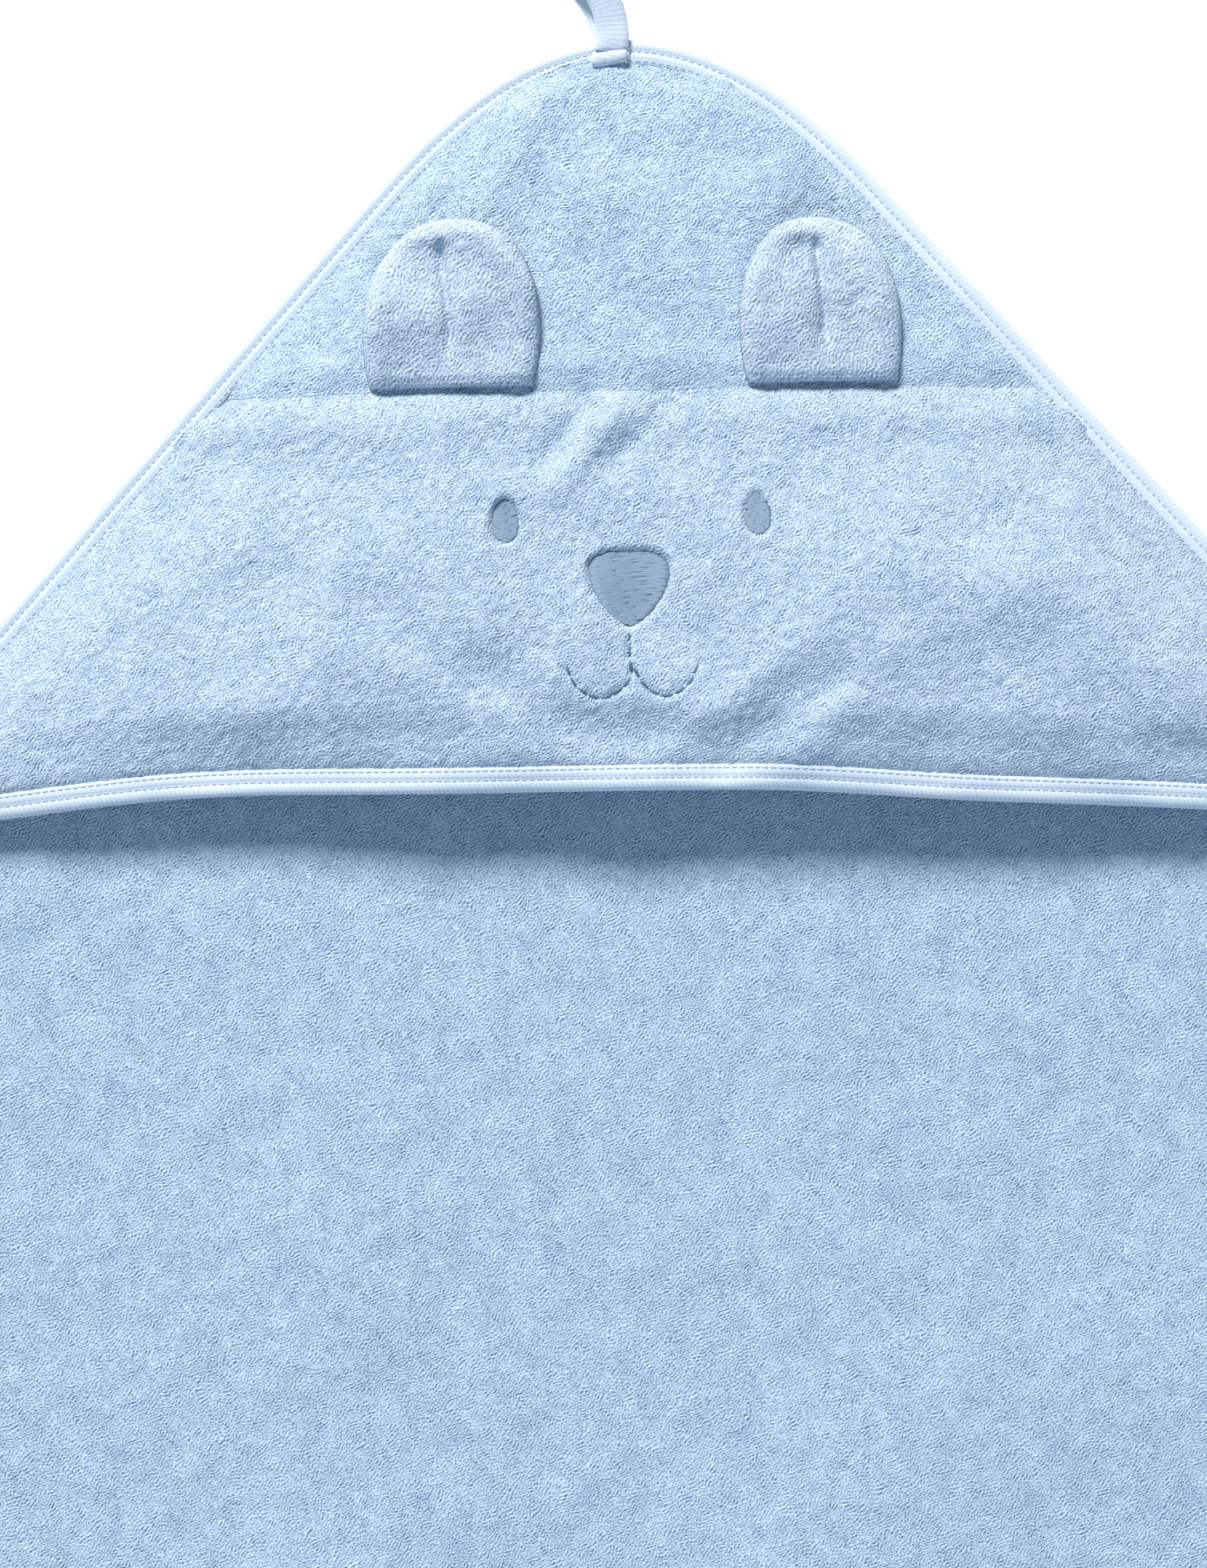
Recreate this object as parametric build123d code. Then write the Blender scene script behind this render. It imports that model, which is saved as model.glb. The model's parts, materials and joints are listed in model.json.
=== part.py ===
from build123d import *
import os
from math import atan2, cos, degrees, radians, sin, tan

# Hooded baby towel lying flat, hood side up. Millimetres, +Z up, +Y towards the hooded corner.
# While it is designed, y = 0 is the sharp corner that the two hood edges would meet in, and a
# place on the hood is given as its depth: its distance from that corner, towards the far corner.
# At the end everything moves so that the origin is the bottom centre of the whole object's box.

# ---- driving dimensions ----
SIDE = 750.0                 # edge of the terry square
HALF_ANGLE = 42.0            # the square lies slightly racked: its hooded corner is 84 degrees
CORNER_LENGTH = 128.0        # how far along each edge the soft corner begins
CORNER_FULLNESS = 0.7        # 1 would pull the corner curve right into the corner

BODY_T = 3.5                 # towel terry
HOOD_T = 3.2                 # hood terry
HOOD_LOW = 4.4               # underside of the hood along its sewn edges
HOOD_RISE = 15.0             # how much higher its middle stands at the brim

BINDING_W = 8.3              # visible width of the rib binding
BINDING_T = 4.4              # binding round one layer of terry
BINDING_HOOD_T = 7.6         # binding round towel and hood together
RIM_START = 1.0              # terry inside the binding stops this far from its outer edge
RIM_T = 1.7                  # terry squeezed inside the binding
BRIM_SKIN = 0.6              # binding cloth above and below the brim

SEAM_DEPTH = 163.5           # straight seam across the hood that also holds the ears
SEAM_GAP = 0.6
SEAM_ALLOWANCE = 2.5         # lock-stitch line behind the seam
RIM_LIFT = 0.4               # hood terry's squeezed edge above the hood's underside
HIGH_BINDING_ABOVE = -10.0   # the thick stretch of binding starts above the hood's corner
HIGH_BINDING_PAST = 4.0      # and ends this far past the brim
BRIM_DEPTH = 299.5           # brim edge in the middle of the hood
BRIM_END_DEPTH = 313.0       # and where it meets the towel's sides
BRIM_END_X = 280.0
BRIM_OVERSHOOT = 40.0        # the brim's arch is drawn this much wider, and cut by the towel's edge
MOVING_GAP = 0.5             # between the lifting hood face and the binding beside it

THREAD_W = 0.9
THREAD_T = 0.35
STITCH_ROWS = (4.3, 7.5)     # twin-needle rows, from the binding's outer edge

EAR_X = 62.5
EAR_HALF_BASE = 27.5
EAR_HALF_WIDTH = 29.0
EAR_HEIGHT = 58.0
EAR_BACK_T = 2.4
EAR_FRONT_T = 3.6
EAR_LIFT = 0.6               # clear space between ear and hood
EAR_EDGE_ROUND = 1.6

EMBROIDERY_T = 0.9
EYE_X = 42.6
EYE_DEPTH = 206.0
EYE_HALF_W = 4.5
EYE_HALF_H = 7.6
NOSE_X = -1.6
NOSE_TOP = 218.0
NOSE_TIP = 243.5
NOSE_WIDE_DEPTH = 225.5
NOSE_HALF_W = 13.7
NOSE_DIMPLE = 1.2            # the middle of the nose's upper edge dips this much
NOSE_TOP_SHARE = 0.62        # half-width of the nose's upper edge, as a share of its widest
NOSE_LOW_SHARE = 0.55        # and near its tip
NOSE_LOW_UP = 7.5            # that place's height above the tip

DASH_LENGTH = 3.4
DASH_PITCH = 5.0
DASH_W = 1.1

LOOP_W = 11.0
LOOP_T = 1.3
LOOP_LENGTH = 48.0           # from hinge to the middle of the bend
LOOP_TIP_R = 10.5
LOOP_ROOT_R = 1.9
LOOP_LEAN = 13.0             # the loop leans to the left of the hood's axis
LOOP_X = -4.0
LOOP_SEWN = 9.6              # the sewn end reaches this far behind the hinge line
LOOP_HINGE_OUT = 2.4         # hinge line beyond the binding's outer edge
LOOP_CLEAR = 4.0             # sewn end stops this far behind the hinge line
LOOP_FLOOR_GAP = 0.4         # lower leg of the loop above the floor
LOOP_STITCH_ROWS = (2.6, 5.8)
HOOD_PAST_BRIM = 25.0        # the hood's surface is drawn this much longer, and cut at the brim

TALL = 60.0                  # taller than anything here, for cutting shapes

ANGLE = radians(HALF_ANGLE)
DIAGONAL = 2 * SIDE * cos(ANGLE)
CONE_START = BINDING_W / sin(ANGLE)
CORNER_TIP = CORNER_LENGTH * (1 - 0.75 * CORNER_FULLNESS) * cos(ANGLE)
RISE_START = CORNER_TIP + 5  # the hood lies flat on the towel up to here
FLAT_RISE = 0.1              # arc height of the hood where it lies flat


# ---- outlines seen from above ----
def shortened(arm, reach):
    """An arm from the square's centre to a corner, made shorter by reach."""
    return arm * ((arm.length - reach) / arm.length)


def towel_outline(inset):
    """The soft-cornered racked square, moved inwards by inset, as one flat face."""
    centre = Vector(0, -DIAGONAL / 2, 0)
    arms = [
        (Vector(0, SIDE * cos(ANGLE), 0), ANGLE),
        (Vector(SIDE * sin(ANGLE), 0, 0), radians(90) - ANGLE),
        (Vector(0, -SIDE * cos(ANGLE), 0), ANGLE),
        (Vector(-SIDE * sin(ANGLE), 0, 0), radians(90) - ANGLE),
    ]
    corners = [centre + shortened(arm, inset / sin(half)) for arm, half in arms]
    starts, ends, edges = [], [], []
    for i, (arm, half) in enumerate(arms):
        here = corners[i]
        back = (corners[i - 1] - here).normalized()
        on = (corners[(i + 1) % len(corners)] - here).normalized()
        tip_share = (1 - 0.75 * CORNER_FULLNESS) * cos(half)
        length = CORNER_LENGTH - inset * (1 / sin(half) - 1) / tip_share
        handle = length * (1 - CORNER_FULLNESS)
        starts.append(here + back * length)
        ends.append(here + on * length)
        edges.append(Bezier(starts[-1], here + back * handle, here + on * handle, ends[-1]))
    for i in range(len(corners)):
        edges.append(Line(ends[i], starts[(i + 1) % len(corners)]))
    return make_face(edges)


def brim_region(first, brim_offset):
    """Seen from above: from a straight line at depth first to the brim's arch, moved up by an offset."""
    reach = BRIM_END_X + BRIM_OVERSHOOT
    left = Vector(-reach, -first, 0)
    right = Vector(reach, -first, 0)
    spread = reach / BRIM_END_X
    end_depth = BRIM_DEPTH + (BRIM_END_DEPTH - BRIM_DEPTH) * spread ** 2 - brim_offset
    low_left = Vector(left.X, -end_depth, 0)
    low_right = Vector(right.X, -end_depth, 0)
    middle = Vector(0, -(BRIM_DEPTH - brim_offset), 0)
    arch = ThreePointArc(low_left, middle, low_right)
    return make_face([Line(left, right), Line(right, low_right), arch, Line(low_left, left)])


def prism(face):
    return extrude(face, amount=TALL, dir=(0, 0, 1))


# ---- the hood is a shallow cone: every cross-section is an arc, higher towards the brim ----
def hood_rise(depth):
    return FLAT_RISE + HOOD_RISE * (depth - RISE_START) / (BRIM_DEPTH - RISE_START)


def hood_half_width(depth):
    return (depth - CONE_START) * tan(ANGLE)


def hood_section(depth, lift, thickness):
    half = hood_half_width(depth)
    left = Vector(-half, -depth, HOOD_LOW + lift)
    right = Vector(half, -depth, HOOD_LOW + lift)
    crown = Vector(0, -depth, HOOD_LOW + lift + hood_rise(depth))
    up = Vector(0, 0, thickness)
    under = ThreePointArc(left, crown, right)
    over = ThreePointArc(right + up, crown + up, left + up)
    return make_face([under, Line(right, right + up), over, Line(left + up, left)])


def hood_layer(lift, thickness):
    """A layer of the whole hood, lift above the terry's underside."""
    near, far = RISE_START, BRIM_END_DEPTH + HOOD_PAST_BRIM
    return loft([hood_section(near, lift, thickness), hood_section(far, lift, thickness)], ruled=True)


def hood_top(x, depth):
    """Height of the hood's upper face at a place on it, close enough for setting the ears."""
    half = hood_half_width(depth)
    return HOOD_LOW + HOOD_T + hood_rise(depth) * (1 - (x / half) ** 2)


# ---- towel square and its binding ----
def beside_hood():
    """Seen from above: everything from the hood's corner to just past the brim."""
    return brim_region(HIGH_BINDING_ABOVE, -HIGH_BINDING_PAST)


def make_body_panel():
    field = extrude(towel_outline(BINDING_W), amount=BODY_T, dir=(0, 0, 1))
    rim = extrude(towel_outline(RIM_START), amount=RIM_T, dir=(0, 0, 1))
    return field + Pos(0, 0, (BODY_T - RIM_T) / 2) * rim


def upper_rim():
    """Edge of the hood's upper panel, squeezed inside the binding."""
    above_seam = Pos(0, -SEAM_DEPTH / 2, 0) * Rectangle(2 * SIDE, SEAM_DEPTH - 2 * RIM_START)
    region = towel_outline(RIM_START) & above_seam
    ring = extrude(region - towel_outline(BINDING_W), amount=RIM_T, dir=(0, 0, 1))
    return Pos(0, 0, HOOD_LOW + RIM_LIFT) * ring


def make_edge_binding(body_panel, rim):
    low = extrude(towel_outline(0), amount=BINDING_T, dir=(0, 0, 1))
    high = extrude(towel_outline(0) & beside_hood(), amount=BINDING_HOOD_T, dir=(0, 0, 1))
    field = extrude(towel_outline(BINDING_W), amount=TALL, dir=(0, 0, 1))
    return low + high - field - body_panel - rim


def make_edge_topstitch(row):
    """One needle's thread, a fine raised line all the way round on top of the binding."""
    ring = towel_outline(row - THREAD_W / 2) - towel_outline(row + THREAD_W / 2)
    high = Pos(0, 0, BINDING_HOOD_T) * extrude(ring & beside_hood(), amount=THREAD_T, dir=(0, 0, 1))
    low = Pos(0, 0, BINDING_T) * extrude(ring - beside_hood(), amount=THREAD_T, dir=(0, 0, 1))
    tape = LOOP_PLACE * Box(LOOP_W + 2 * MOVING_GAP, 4 * LOOP_SEWN, TALL)
    return Compound(list((high - tape).solids()) + list(low.solids()))


# ---- hood ----
def make_hood_upper_panel(rim):
    above_seam = Pos(0, -SEAM_DEPTH / 2, 0) * Rectangle(2 * SIDE, SEAM_DEPTH)
    field = prism(towel_outline(BINDING_W) & above_seam)
    return (hood_layer(0, HOOD_T) & field) + rim


def make_hood_seam_thread():
    """Lock-stitch line of the cross seam, inside the hood."""
    strip = Pos(0, -SEAM_DEPTH + SEAM_ALLOWANCE, 0) * Rectangle(2 * SIDE, THREAD_W)
    return hood_layer(-THREAD_T, THREAD_T) & prism(towel_outline(BINDING_W + 2) & strip)


def face_area(brim_offset, first=SEAM_DEPTH + SEAM_GAP):
    return prism(towel_outline(BINDING_W + MOVING_GAP) & brim_region(first, brim_offset))


def make_hood_face_panel():
    return hood_layer(0, HOOD_T) & face_area(RIM_START)


def make_brim_binding(face_panel):
    thick = hood_layer(-BRIM_SKIN, HOOD_T + 2 * BRIM_SKIN)
    return (thick & face_area(0)) - face_area(BINDING_W) - face_panel


def make_brim_topstitch(row):
    bead = hood_layer(HOOD_T + BRIM_SKIN, THREAD_T)
    return (bead & face_area(row - THREAD_W / 2)) - face_area(row + THREAD_W / 2)


# ---- embroidery on the hood face ----
def on_hood(outline):
    """Raised thread over an outline seen from above, following the hood's upper face."""
    return hood_layer(HOOD_T, EMBROIDERY_T) & prism(outline)


def make_eye(side):
    return on_hood(Pos(side * EYE_X, -EYE_DEPTH, 0) * Ellipse(EYE_HALF_W, EYE_HALF_H))


def make_nose():
    half = [
        Vector(0, -NOSE_TOP - NOSE_DIMPLE, 0),
        Vector(NOSE_HALF_W * NOSE_TOP_SHARE, -NOSE_TOP, 0),
        Vector(NOSE_HALF_W, -NOSE_WIDE_DEPTH, 0),
        Vector(NOSE_HALF_W * NOSE_LOW_SHARE, -NOSE_TIP + NOSE_LOW_UP, 0),
        Vector(0, -NOSE_TIP, 0),
    ]
    other = [Vector(-p.X, p.Y, 0) for p in reversed(half[1:-1])]
    outline = make_face(Spline(half + other, periodic=True))
    return on_hood(Pos(NOSE_X, 0, 0) * outline)


def make_running_stitches(path):
    """Even dashes of thick thread along a path seen from above."""
    count = max(2, round(path.length / DASH_PITCH))
    flat = []
    for i in range(count):
        spot = path @ ((i + 0.5) / count)
        run = path % ((i + 0.5) / count)
        turn = Vector(1, 0, 0).get_signed_angle(run, Vector(0, 0, 1))
        flat.append(Pos(spot.X, spot.Y, 0) * Rot(0, 0, turn) * SlotOverall(DASH_LENGTH, DASH_W))
    pieces = [on_hood(shape) for shape in flat]
    return Compound([solid for piece in pieces for solid in piece.solids()])


PHILTRUM = Line((-2.0, -245.2), (-1.4, -260.5))
MOUTH_LEFT = ThreePointArc((-23.5, -256.5), (-11.8, -268.3), (-2.6, -263.4))
MOUTH_RIGHT = ThreePointArc((0.4, -258.4), (10.4, -268.0), (21.5, -256.5))


# ---- ears ----
def ear_outline(inset):
    half = EAR_HALF_WIDTH - inset
    top = EAR_HEIGHT - inset
    points = [
        (-EAR_HALF_BASE + inset, inset),
        (-half, top * 0.33),
        (-half * 0.74, top * 0.77),
        (0, top),
        (half * 0.74, top * 0.77),
        (half, top * 0.33),
        (EAR_HALF_BASE - inset, inset),
    ]
    return make_face([Spline(points), Line(points[-1], points[0])])


def ear_tilt(side):
    """Angles that lay an ear along the hood: fall towards the corner, and fall outwards."""
    reach, span = EAR_HEIGHT / 2, EAR_HALF_WIDTH / 2
    middle = SEAM_DEPTH - reach
    fall = hood_top(EAR_X, middle + reach) - hood_top(EAR_X, middle - reach)
    lean = hood_top(EAR_X - span, middle) - hood_top(EAR_X + span, middle)
    return -degrees(atan2(fall, 2 * reach)), side * degrees(atan2(lean, 2 * span))


def ear_place(side):
    """The ear's own frame: its base line along x, at its upper face."""
    fall, lean = ear_tilt(side)
    thickness = EAR_BACK_T + EAR_FRONT_T
    height = hood_top(EAR_X, SEAM_DEPTH) + thickness + 2 * EAR_LIFT
    return Pos(side * EAR_X, -SEAM_DEPTH + EAR_LIFT, height) * Rot(fall, lean, 0)


def make_ear(side):
    place = ear_place(side)
    back = Pos(0, 0, -EAR_FRONT_T - EAR_BACK_T) * extrude(ear_outline(0), amount=EAR_BACK_T, dir=(0, 0, 1))
    front = Pos(0, 0, -EAR_FRONT_T) * extrude(ear_outline(0), amount=EAR_FRONT_T, dir=(0, 0, 1))
    top_rim = front.faces().sort_by(Axis.Z)[-1].edges()
    front = chamfer(top_rim, EAR_EDGE_ROUND)
    return place * front, place * back


# ---- hanging loop ----
LOOP_Z = BINDING_HOOD_T + LOOP_T
LOOP_PLACE = Pos(LOOP_X, -CORNER_TIP + LOOP_HINGE_OUT, LOOP_Z) * Rot(0, 0, LOOP_LEAN)


def teardrop(inset):
    """Side view of the loop: a tight end at the hinge and a round bend at the tip."""
    tip_height = LOOP_TIP_R - LOOP_Z + LOOP_FLOOR_GAP
    root = Circle(LOOP_ROOT_R - inset)
    tip = Pos(LOOP_LENGTH, tip_height) * Circle(LOOP_TIP_R - inset)
    return make_hull(list(root.edges()) + list(tip.edges()))


def make_hanging_loop():
    side_view = Plane(origin=(-LOOP_W / 2, 0, 0), x_dir=(0, 1, 0), z_dir=(1, 0, 0))
    strap = extrude(side_view * (teardrop(0) - teardrop(LOOP_T)), amount=LOOP_W, dir=(1, 0, 0))
    return LOOP_PLACE * strap


def make_loop_sewn_end():
    """Both ends of the loop's tape, one on the other, lying on the binding."""
    layers = Box(LOOP_W, LOOP_SEWN - LOOP_CLEAR, 2 * LOOP_T)
    return LOOP_PLACE * Pos(0, -(LOOP_SEWN + LOOP_CLEAR) / 2, 0) * layers


def make_loop_stitching():
    row = Box(LOOP_W - THREAD_W, THREAD_W, THREAD_T)
    rows = [Pos(0, -LOOP_CLEAR - back, LOOP_T + THREAD_T / 2) * row for back in LOOP_STITCH_ROWS]
    return LOOP_PLACE * Compound(rows)


# ---- assembly ----
def build_nodes():
    body_panel = make_body_panel()
    rim = upper_rim()
    face_panel = make_hood_face_panel()
    nodes = {
        "body_panel": body_panel,
        "edge_binding": make_edge_binding(body_panel, rim),
        "edge_topstitch_outer": make_edge_topstitch(STITCH_ROWS[0]),
        "edge_topstitch_inner": make_edge_topstitch(STITCH_ROWS[1]),
        "hood_upper_panel": make_hood_upper_panel(rim),
        "hood_seam_thread": make_hood_seam_thread(),
        "hood_face_panel": face_panel,
        "brim_binding": make_brim_binding(face_panel),
        "brim_topstitch_outer": make_brim_topstitch(STITCH_ROWS[0]),
        "brim_topstitch_inner": make_brim_topstitch(STITCH_ROWS[1]),
        "left_eye_embroidery": make_eye(-1),
        "right_eye_embroidery": make_eye(1),
        "nose_embroidery": make_nose(),
        "philtrum_stitches": make_running_stitches(PHILTRUM),
        "mouth_left_stitches": make_running_stitches(MOUTH_LEFT),
        "mouth_right_stitches": make_running_stitches(MOUTH_RIGHT),
        "hanging_loop": make_hanging_loop(),
        "loop_sewn_end": make_loop_sewn_end(),
        "loop_stitching": make_loop_stitching(),
    }
    for name, side in (("left", -1), ("right", 1)):
        front, back = make_ear(side)
        nodes[name + "_ear_front"] = front
        nodes[name + "_ear_back"] = back
    return nodes


def joint_lines():
    """Each hinge's point and direction, in the design frame."""
    lines = {"hood_face_lift": (Vector(0, -SEAM_DEPTH, hood_top(0, SEAM_DEPTH) + 0.2), Vector(-1, 0, 0))}
    places = {"left_ear_fold": ear_place(-1), "right_ear_fold": ear_place(1), "loop_flip": LOOP_PLACE}
    for name, place in places.items():
        plane = Plane(place)
        lines[name] = (plane.origin, plane.x_dir)
    return lines


nodes = build_nodes()
box = Compound(list(nodes.values())).bounding_box()
to_origin = Vector(-(box.min.X + box.max.X) / 2, -(box.min.Y + box.max.Y) / 2, -box.min.Z)
os.makedirs("parts", exist_ok=True)
for name, shape in nodes.items():
    print(name, len(shape.solids()), "solids")
    export_step(Pos(to_origin) * shape, f"parts/{name}.step")
print(f"whole object {box.size.X:.1f} x {box.size.Y:.1f} x {box.size.Z:.1f} mm, moved by {to_origin}")
for name, (point, direction) in joint_lines().items():
    print(name, point + to_origin, direction)
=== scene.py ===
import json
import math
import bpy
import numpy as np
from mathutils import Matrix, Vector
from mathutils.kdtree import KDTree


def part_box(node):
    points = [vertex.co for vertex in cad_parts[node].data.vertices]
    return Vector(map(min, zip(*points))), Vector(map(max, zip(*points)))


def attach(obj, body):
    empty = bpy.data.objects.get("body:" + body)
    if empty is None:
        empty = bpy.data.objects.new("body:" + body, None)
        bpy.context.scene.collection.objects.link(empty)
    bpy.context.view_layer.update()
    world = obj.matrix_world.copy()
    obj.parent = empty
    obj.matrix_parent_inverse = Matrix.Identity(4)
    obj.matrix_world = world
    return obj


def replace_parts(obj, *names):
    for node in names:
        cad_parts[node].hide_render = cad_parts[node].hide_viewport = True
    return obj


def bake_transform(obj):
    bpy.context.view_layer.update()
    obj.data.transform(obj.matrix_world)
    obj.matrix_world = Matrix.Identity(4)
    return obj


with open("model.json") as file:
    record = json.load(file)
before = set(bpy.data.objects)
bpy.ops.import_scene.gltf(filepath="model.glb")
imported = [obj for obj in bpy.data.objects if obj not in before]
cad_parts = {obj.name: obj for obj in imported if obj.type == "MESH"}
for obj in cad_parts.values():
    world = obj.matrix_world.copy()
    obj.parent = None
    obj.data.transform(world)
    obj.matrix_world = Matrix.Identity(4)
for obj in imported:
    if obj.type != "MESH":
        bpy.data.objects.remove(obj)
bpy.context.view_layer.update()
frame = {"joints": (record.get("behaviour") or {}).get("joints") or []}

# %% [markdown]
# # A hooded baby towel, lying flat
# The real thing is a square of cotton terry cloth with a triangle of the same cloth sewn over one
# corner as a hood. A fine rib-knit tape binds every raw edge, two ears are caught in a seam across
# the hood, a sleepy animal face is embroidered on it, and a loop of the same tape hangs it on a hook.
# This file dresses the plain engineering model: each cell makes one piece or one finish.

MM = 0.001
SIDE = 750 * MM                 # edge of the terry square
HALF_ANGLE = math.radians(42)   # the square lies a little racked: its hooded corner is 84 degrees
CORNER_LENGTH = 128 * MM        # where each soft corner begins
CORNER_FULLNESS = 0.7
BINDING_W = 8.3 * MM
BINDING_T = 4.4 * MM            # binding round one layer of terry
BINDING_HOOD_T = 7.6 * MM       # binding round towel and hood together
BODY_T = 3.5 * MM
HOOD_T = 3.2 * MM
random_numbers = np.random.default_rng(11)


def joint_point(name):
    """Where a hinge of the engineering model sits."""
    return Vector(next(j["pos_m"] for j in frame["joints"] if j["name"] == name))


square_low, square_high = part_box("edge_binding")
centre_y = (square_low.y + square_high.y) / 2
apex_y = centre_y + SIDE * math.cos(HALF_ANGLE)     # where the two hood edges would meet
brim_low, brim_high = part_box("brim_binding")
seam_depth = apex_y - joint_point("hood_face_lift").y
brim_depth = apex_y - brim_high.y + BINDING_W       # brim edge in the middle
brim_end_depth = brim_depth + 13.5 * MM             # brim edge at the towel's sides
brim_end_x = 280 * MM
tip_depth = apex_y - square_high.y
print(f"seam {seam_depth / MM:.1f}, brim {brim_depth / MM:.1f}, tip {tip_depth / MM:.1f} mm below the apex")

# %% [markdown]
# ## Camera, floor and light
# The towel is seen from straight above on white: the camera looks down the Z axis, and a big soft
# light leans over it from beyond the hood, so every fold is lit on the side that faces the hood's
# corner. A wide area light is the studio softbox, a weaker and bluer one opposite is the reflector
# that opens up the shadows, and the world's even tone is the light that bounces round a white room.

# %% Camera
PICTURE_HEIGHT = 533.3 * MM     # how much of the object fits from bottom to top
PICTURE_DEPTH = 297.1 * MM      # the picture's middle, below the apex
PICTURE_X = -11.2 * MM
CAMERA_ROLL = 0.9               # the towel was laid down almost, but not quite, straight
LENS = 85.0
SENSOR = 36.0


def make_camera():
    data = bpy.data.cameras.new("camera")
    data.lens = LENS
    data.sensor_fit = "VERTICAL"
    data.sensor_height = SENSOR
    data.clip_start = 10 * MM
    camera = bpy.data.objects.new("camera", data)
    distance = PICTURE_HEIGHT * LENS / SENSOR
    camera.location = (PICTURE_X, apex_y - PICTURE_DEPTH, distance)
    camera.rotation_euler = (0, 0, math.radians(-CAMERA_ROLL))
    bpy.context.scene.collection.objects.link(camera)
    bpy.context.scene.camera = camera
    print(f"camera {distance:.2f} m above the floor")


make_camera()

# %% Lights and colour handling
def make_area_light(name, place, aim, size, watts, colour):
    data = bpy.data.lights.new(name, "AREA")
    data.color = colour
    data.shape = "DISK"
    data.size = size
    data.energy = watts
    light = bpy.data.objects.new(name, data)
    light.location = place
    light.rotation_euler = (Vector(aim) - Vector(place)).to_track_quat("-Z", "Y").to_euler()
    bpy.context.scene.collection.objects.link(light)


hood_middle = (0, apex_y - brim_depth * 0.8, 0)
LIGHT_DISTANCE = 5.2
LIGHT_HEIGHT = math.radians(35)     # angle above the floor


def studio_place(toward, sideways):
    """A place at the lights' distance and height, beyond the hood (1) or beyond the far corner (-1)."""
    return (sideways, hood_middle[1] + toward * LIGHT_DISTANCE * math.cos(LIGHT_HEIGHT),
            LIGHT_DISTANCE * math.sin(LIGHT_HEIGHT))


make_area_light("softbox", studio_place(1, -1.4), hood_middle, size=1.6, watts=545,
                colour=(1.0, 0.955, 0.90))
make_area_light("reflector", studio_place(-1, 0.5), hood_middle, size=1.5, watts=110,
                colour=(0.70, 0.92, 1.12))
world = bpy.data.worlds.new("studio")
world.use_nodes = True
world.node_tree.nodes["Background"].inputs["Color"].default_value = (0.74, 0.95, 1.12, 1)
world.node_tree.nodes["Background"].inputs["Strength"].default_value = 0.18
bpy.context.scene.world = world
bpy.context.scene.view_settings.view_transform = "Standard"

# %% [markdown]
# ## Helpers for materials
# Colours are picked as the hex values one would read off a colour chart. A shader works in linear
# light, so one function converts them. Another fills the inputs of any node: an input given as the
# output of another node is linked, and any other is set. The last one adds a node and fills it.

# %% Colour and node helpers
def linear(hex_colour):
    """An sRGB hex colour as the linear RGBA that shaders want."""
    channels = [int(hex_colour[i:i + 2], 16) / 255 for i in (1, 3, 5)]
    return [c / 12.92 if c <= 0.04045 else ((c + 0.055) / 1.055) ** 2.4 for c in channels] + [1.0]


def fill_inputs(tree, node, inputs):
    """Links an input to the output it is given, or sets it to the value it is given."""
    for name, value in inputs.items():
        if isinstance(value, bpy.types.NodeSocket):
            tree.links.new(value, node.inputs[name])
        else:
            node.inputs[name].default_value = value


def add(tree, kind, inputs=None, **settings):
    """Adds one shader node with its settings and its inputs."""
    made = tree.nodes.new("ShaderNode" + kind)
    for name, value in settings.items():
        setattr(made, name, value)
    fill_inputs(tree, made, inputs or {})
    return made


def new_material(name):
    material = bpy.data.materials.new(name)
    material.use_nodes = True
    return material, material.node_tree, material.node_tree.nodes["Principled BSDF"]


# %% Floor
FLOOR_REACH = 4.0


def make_floor():
    material, tree, surface = new_material("white_paper_floor")
    coordinates = add(tree, "TexCoord").outputs["Object"]
    mottle = add(tree, "TexNoise", {"Vector": coordinates, "Scale": 3.0})
    tint = add(tree, "ValToRGB", {"Fac": mottle.outputs["Fac"]})
    tint.color_ramp.elements[0].color = linear("#F4F4F4")
    tint.color_ramp.elements[1].color = linear("#F8F8F8")
    fill_inputs(tree, surface, {"Base Color": tint.outputs["Color"], "Roughness": 0.9,
                                "Emission Color": linear("#FFFFFF"), "Emission Strength": 0.5})
    mesh = bpy.data.meshes.new("floor")
    corners = [(x * FLOOR_REACH, y * FLOOR_REACH, 0) for x, y in ((-1, -1), (1, -1), (1, 1), (-1, 1))]
    mesh.from_pydata(corners, [], [(0, 1, 2, 3)])
    mesh.materials.append(material)
    floor = bpy.data.objects.new("floor", mesh)
    bpy.context.scene.collection.objects.link(floor)


make_floor()

# %% [markdown]
# ## Terry cloth
# Terry is woven with slack loops that stand up all over the face. From above one sees short bent
# yarns, a little over a millimetre apart, that mostly lie over the same way, the way the cloth went
# through the dryer. Gabor noise is made of just such strokes: little packets of waves of one length
# and mostly one direction. Pushing the places about with a larger noise makes the lay wander. The
# same pattern drives colour, because the gaps between loops are in shade, and the bump.

# %% Terry material
WAVES_IN_STROKE = 2.2       # how many yarns one packet of waves covers
YARN = 1.12 * MM


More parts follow.
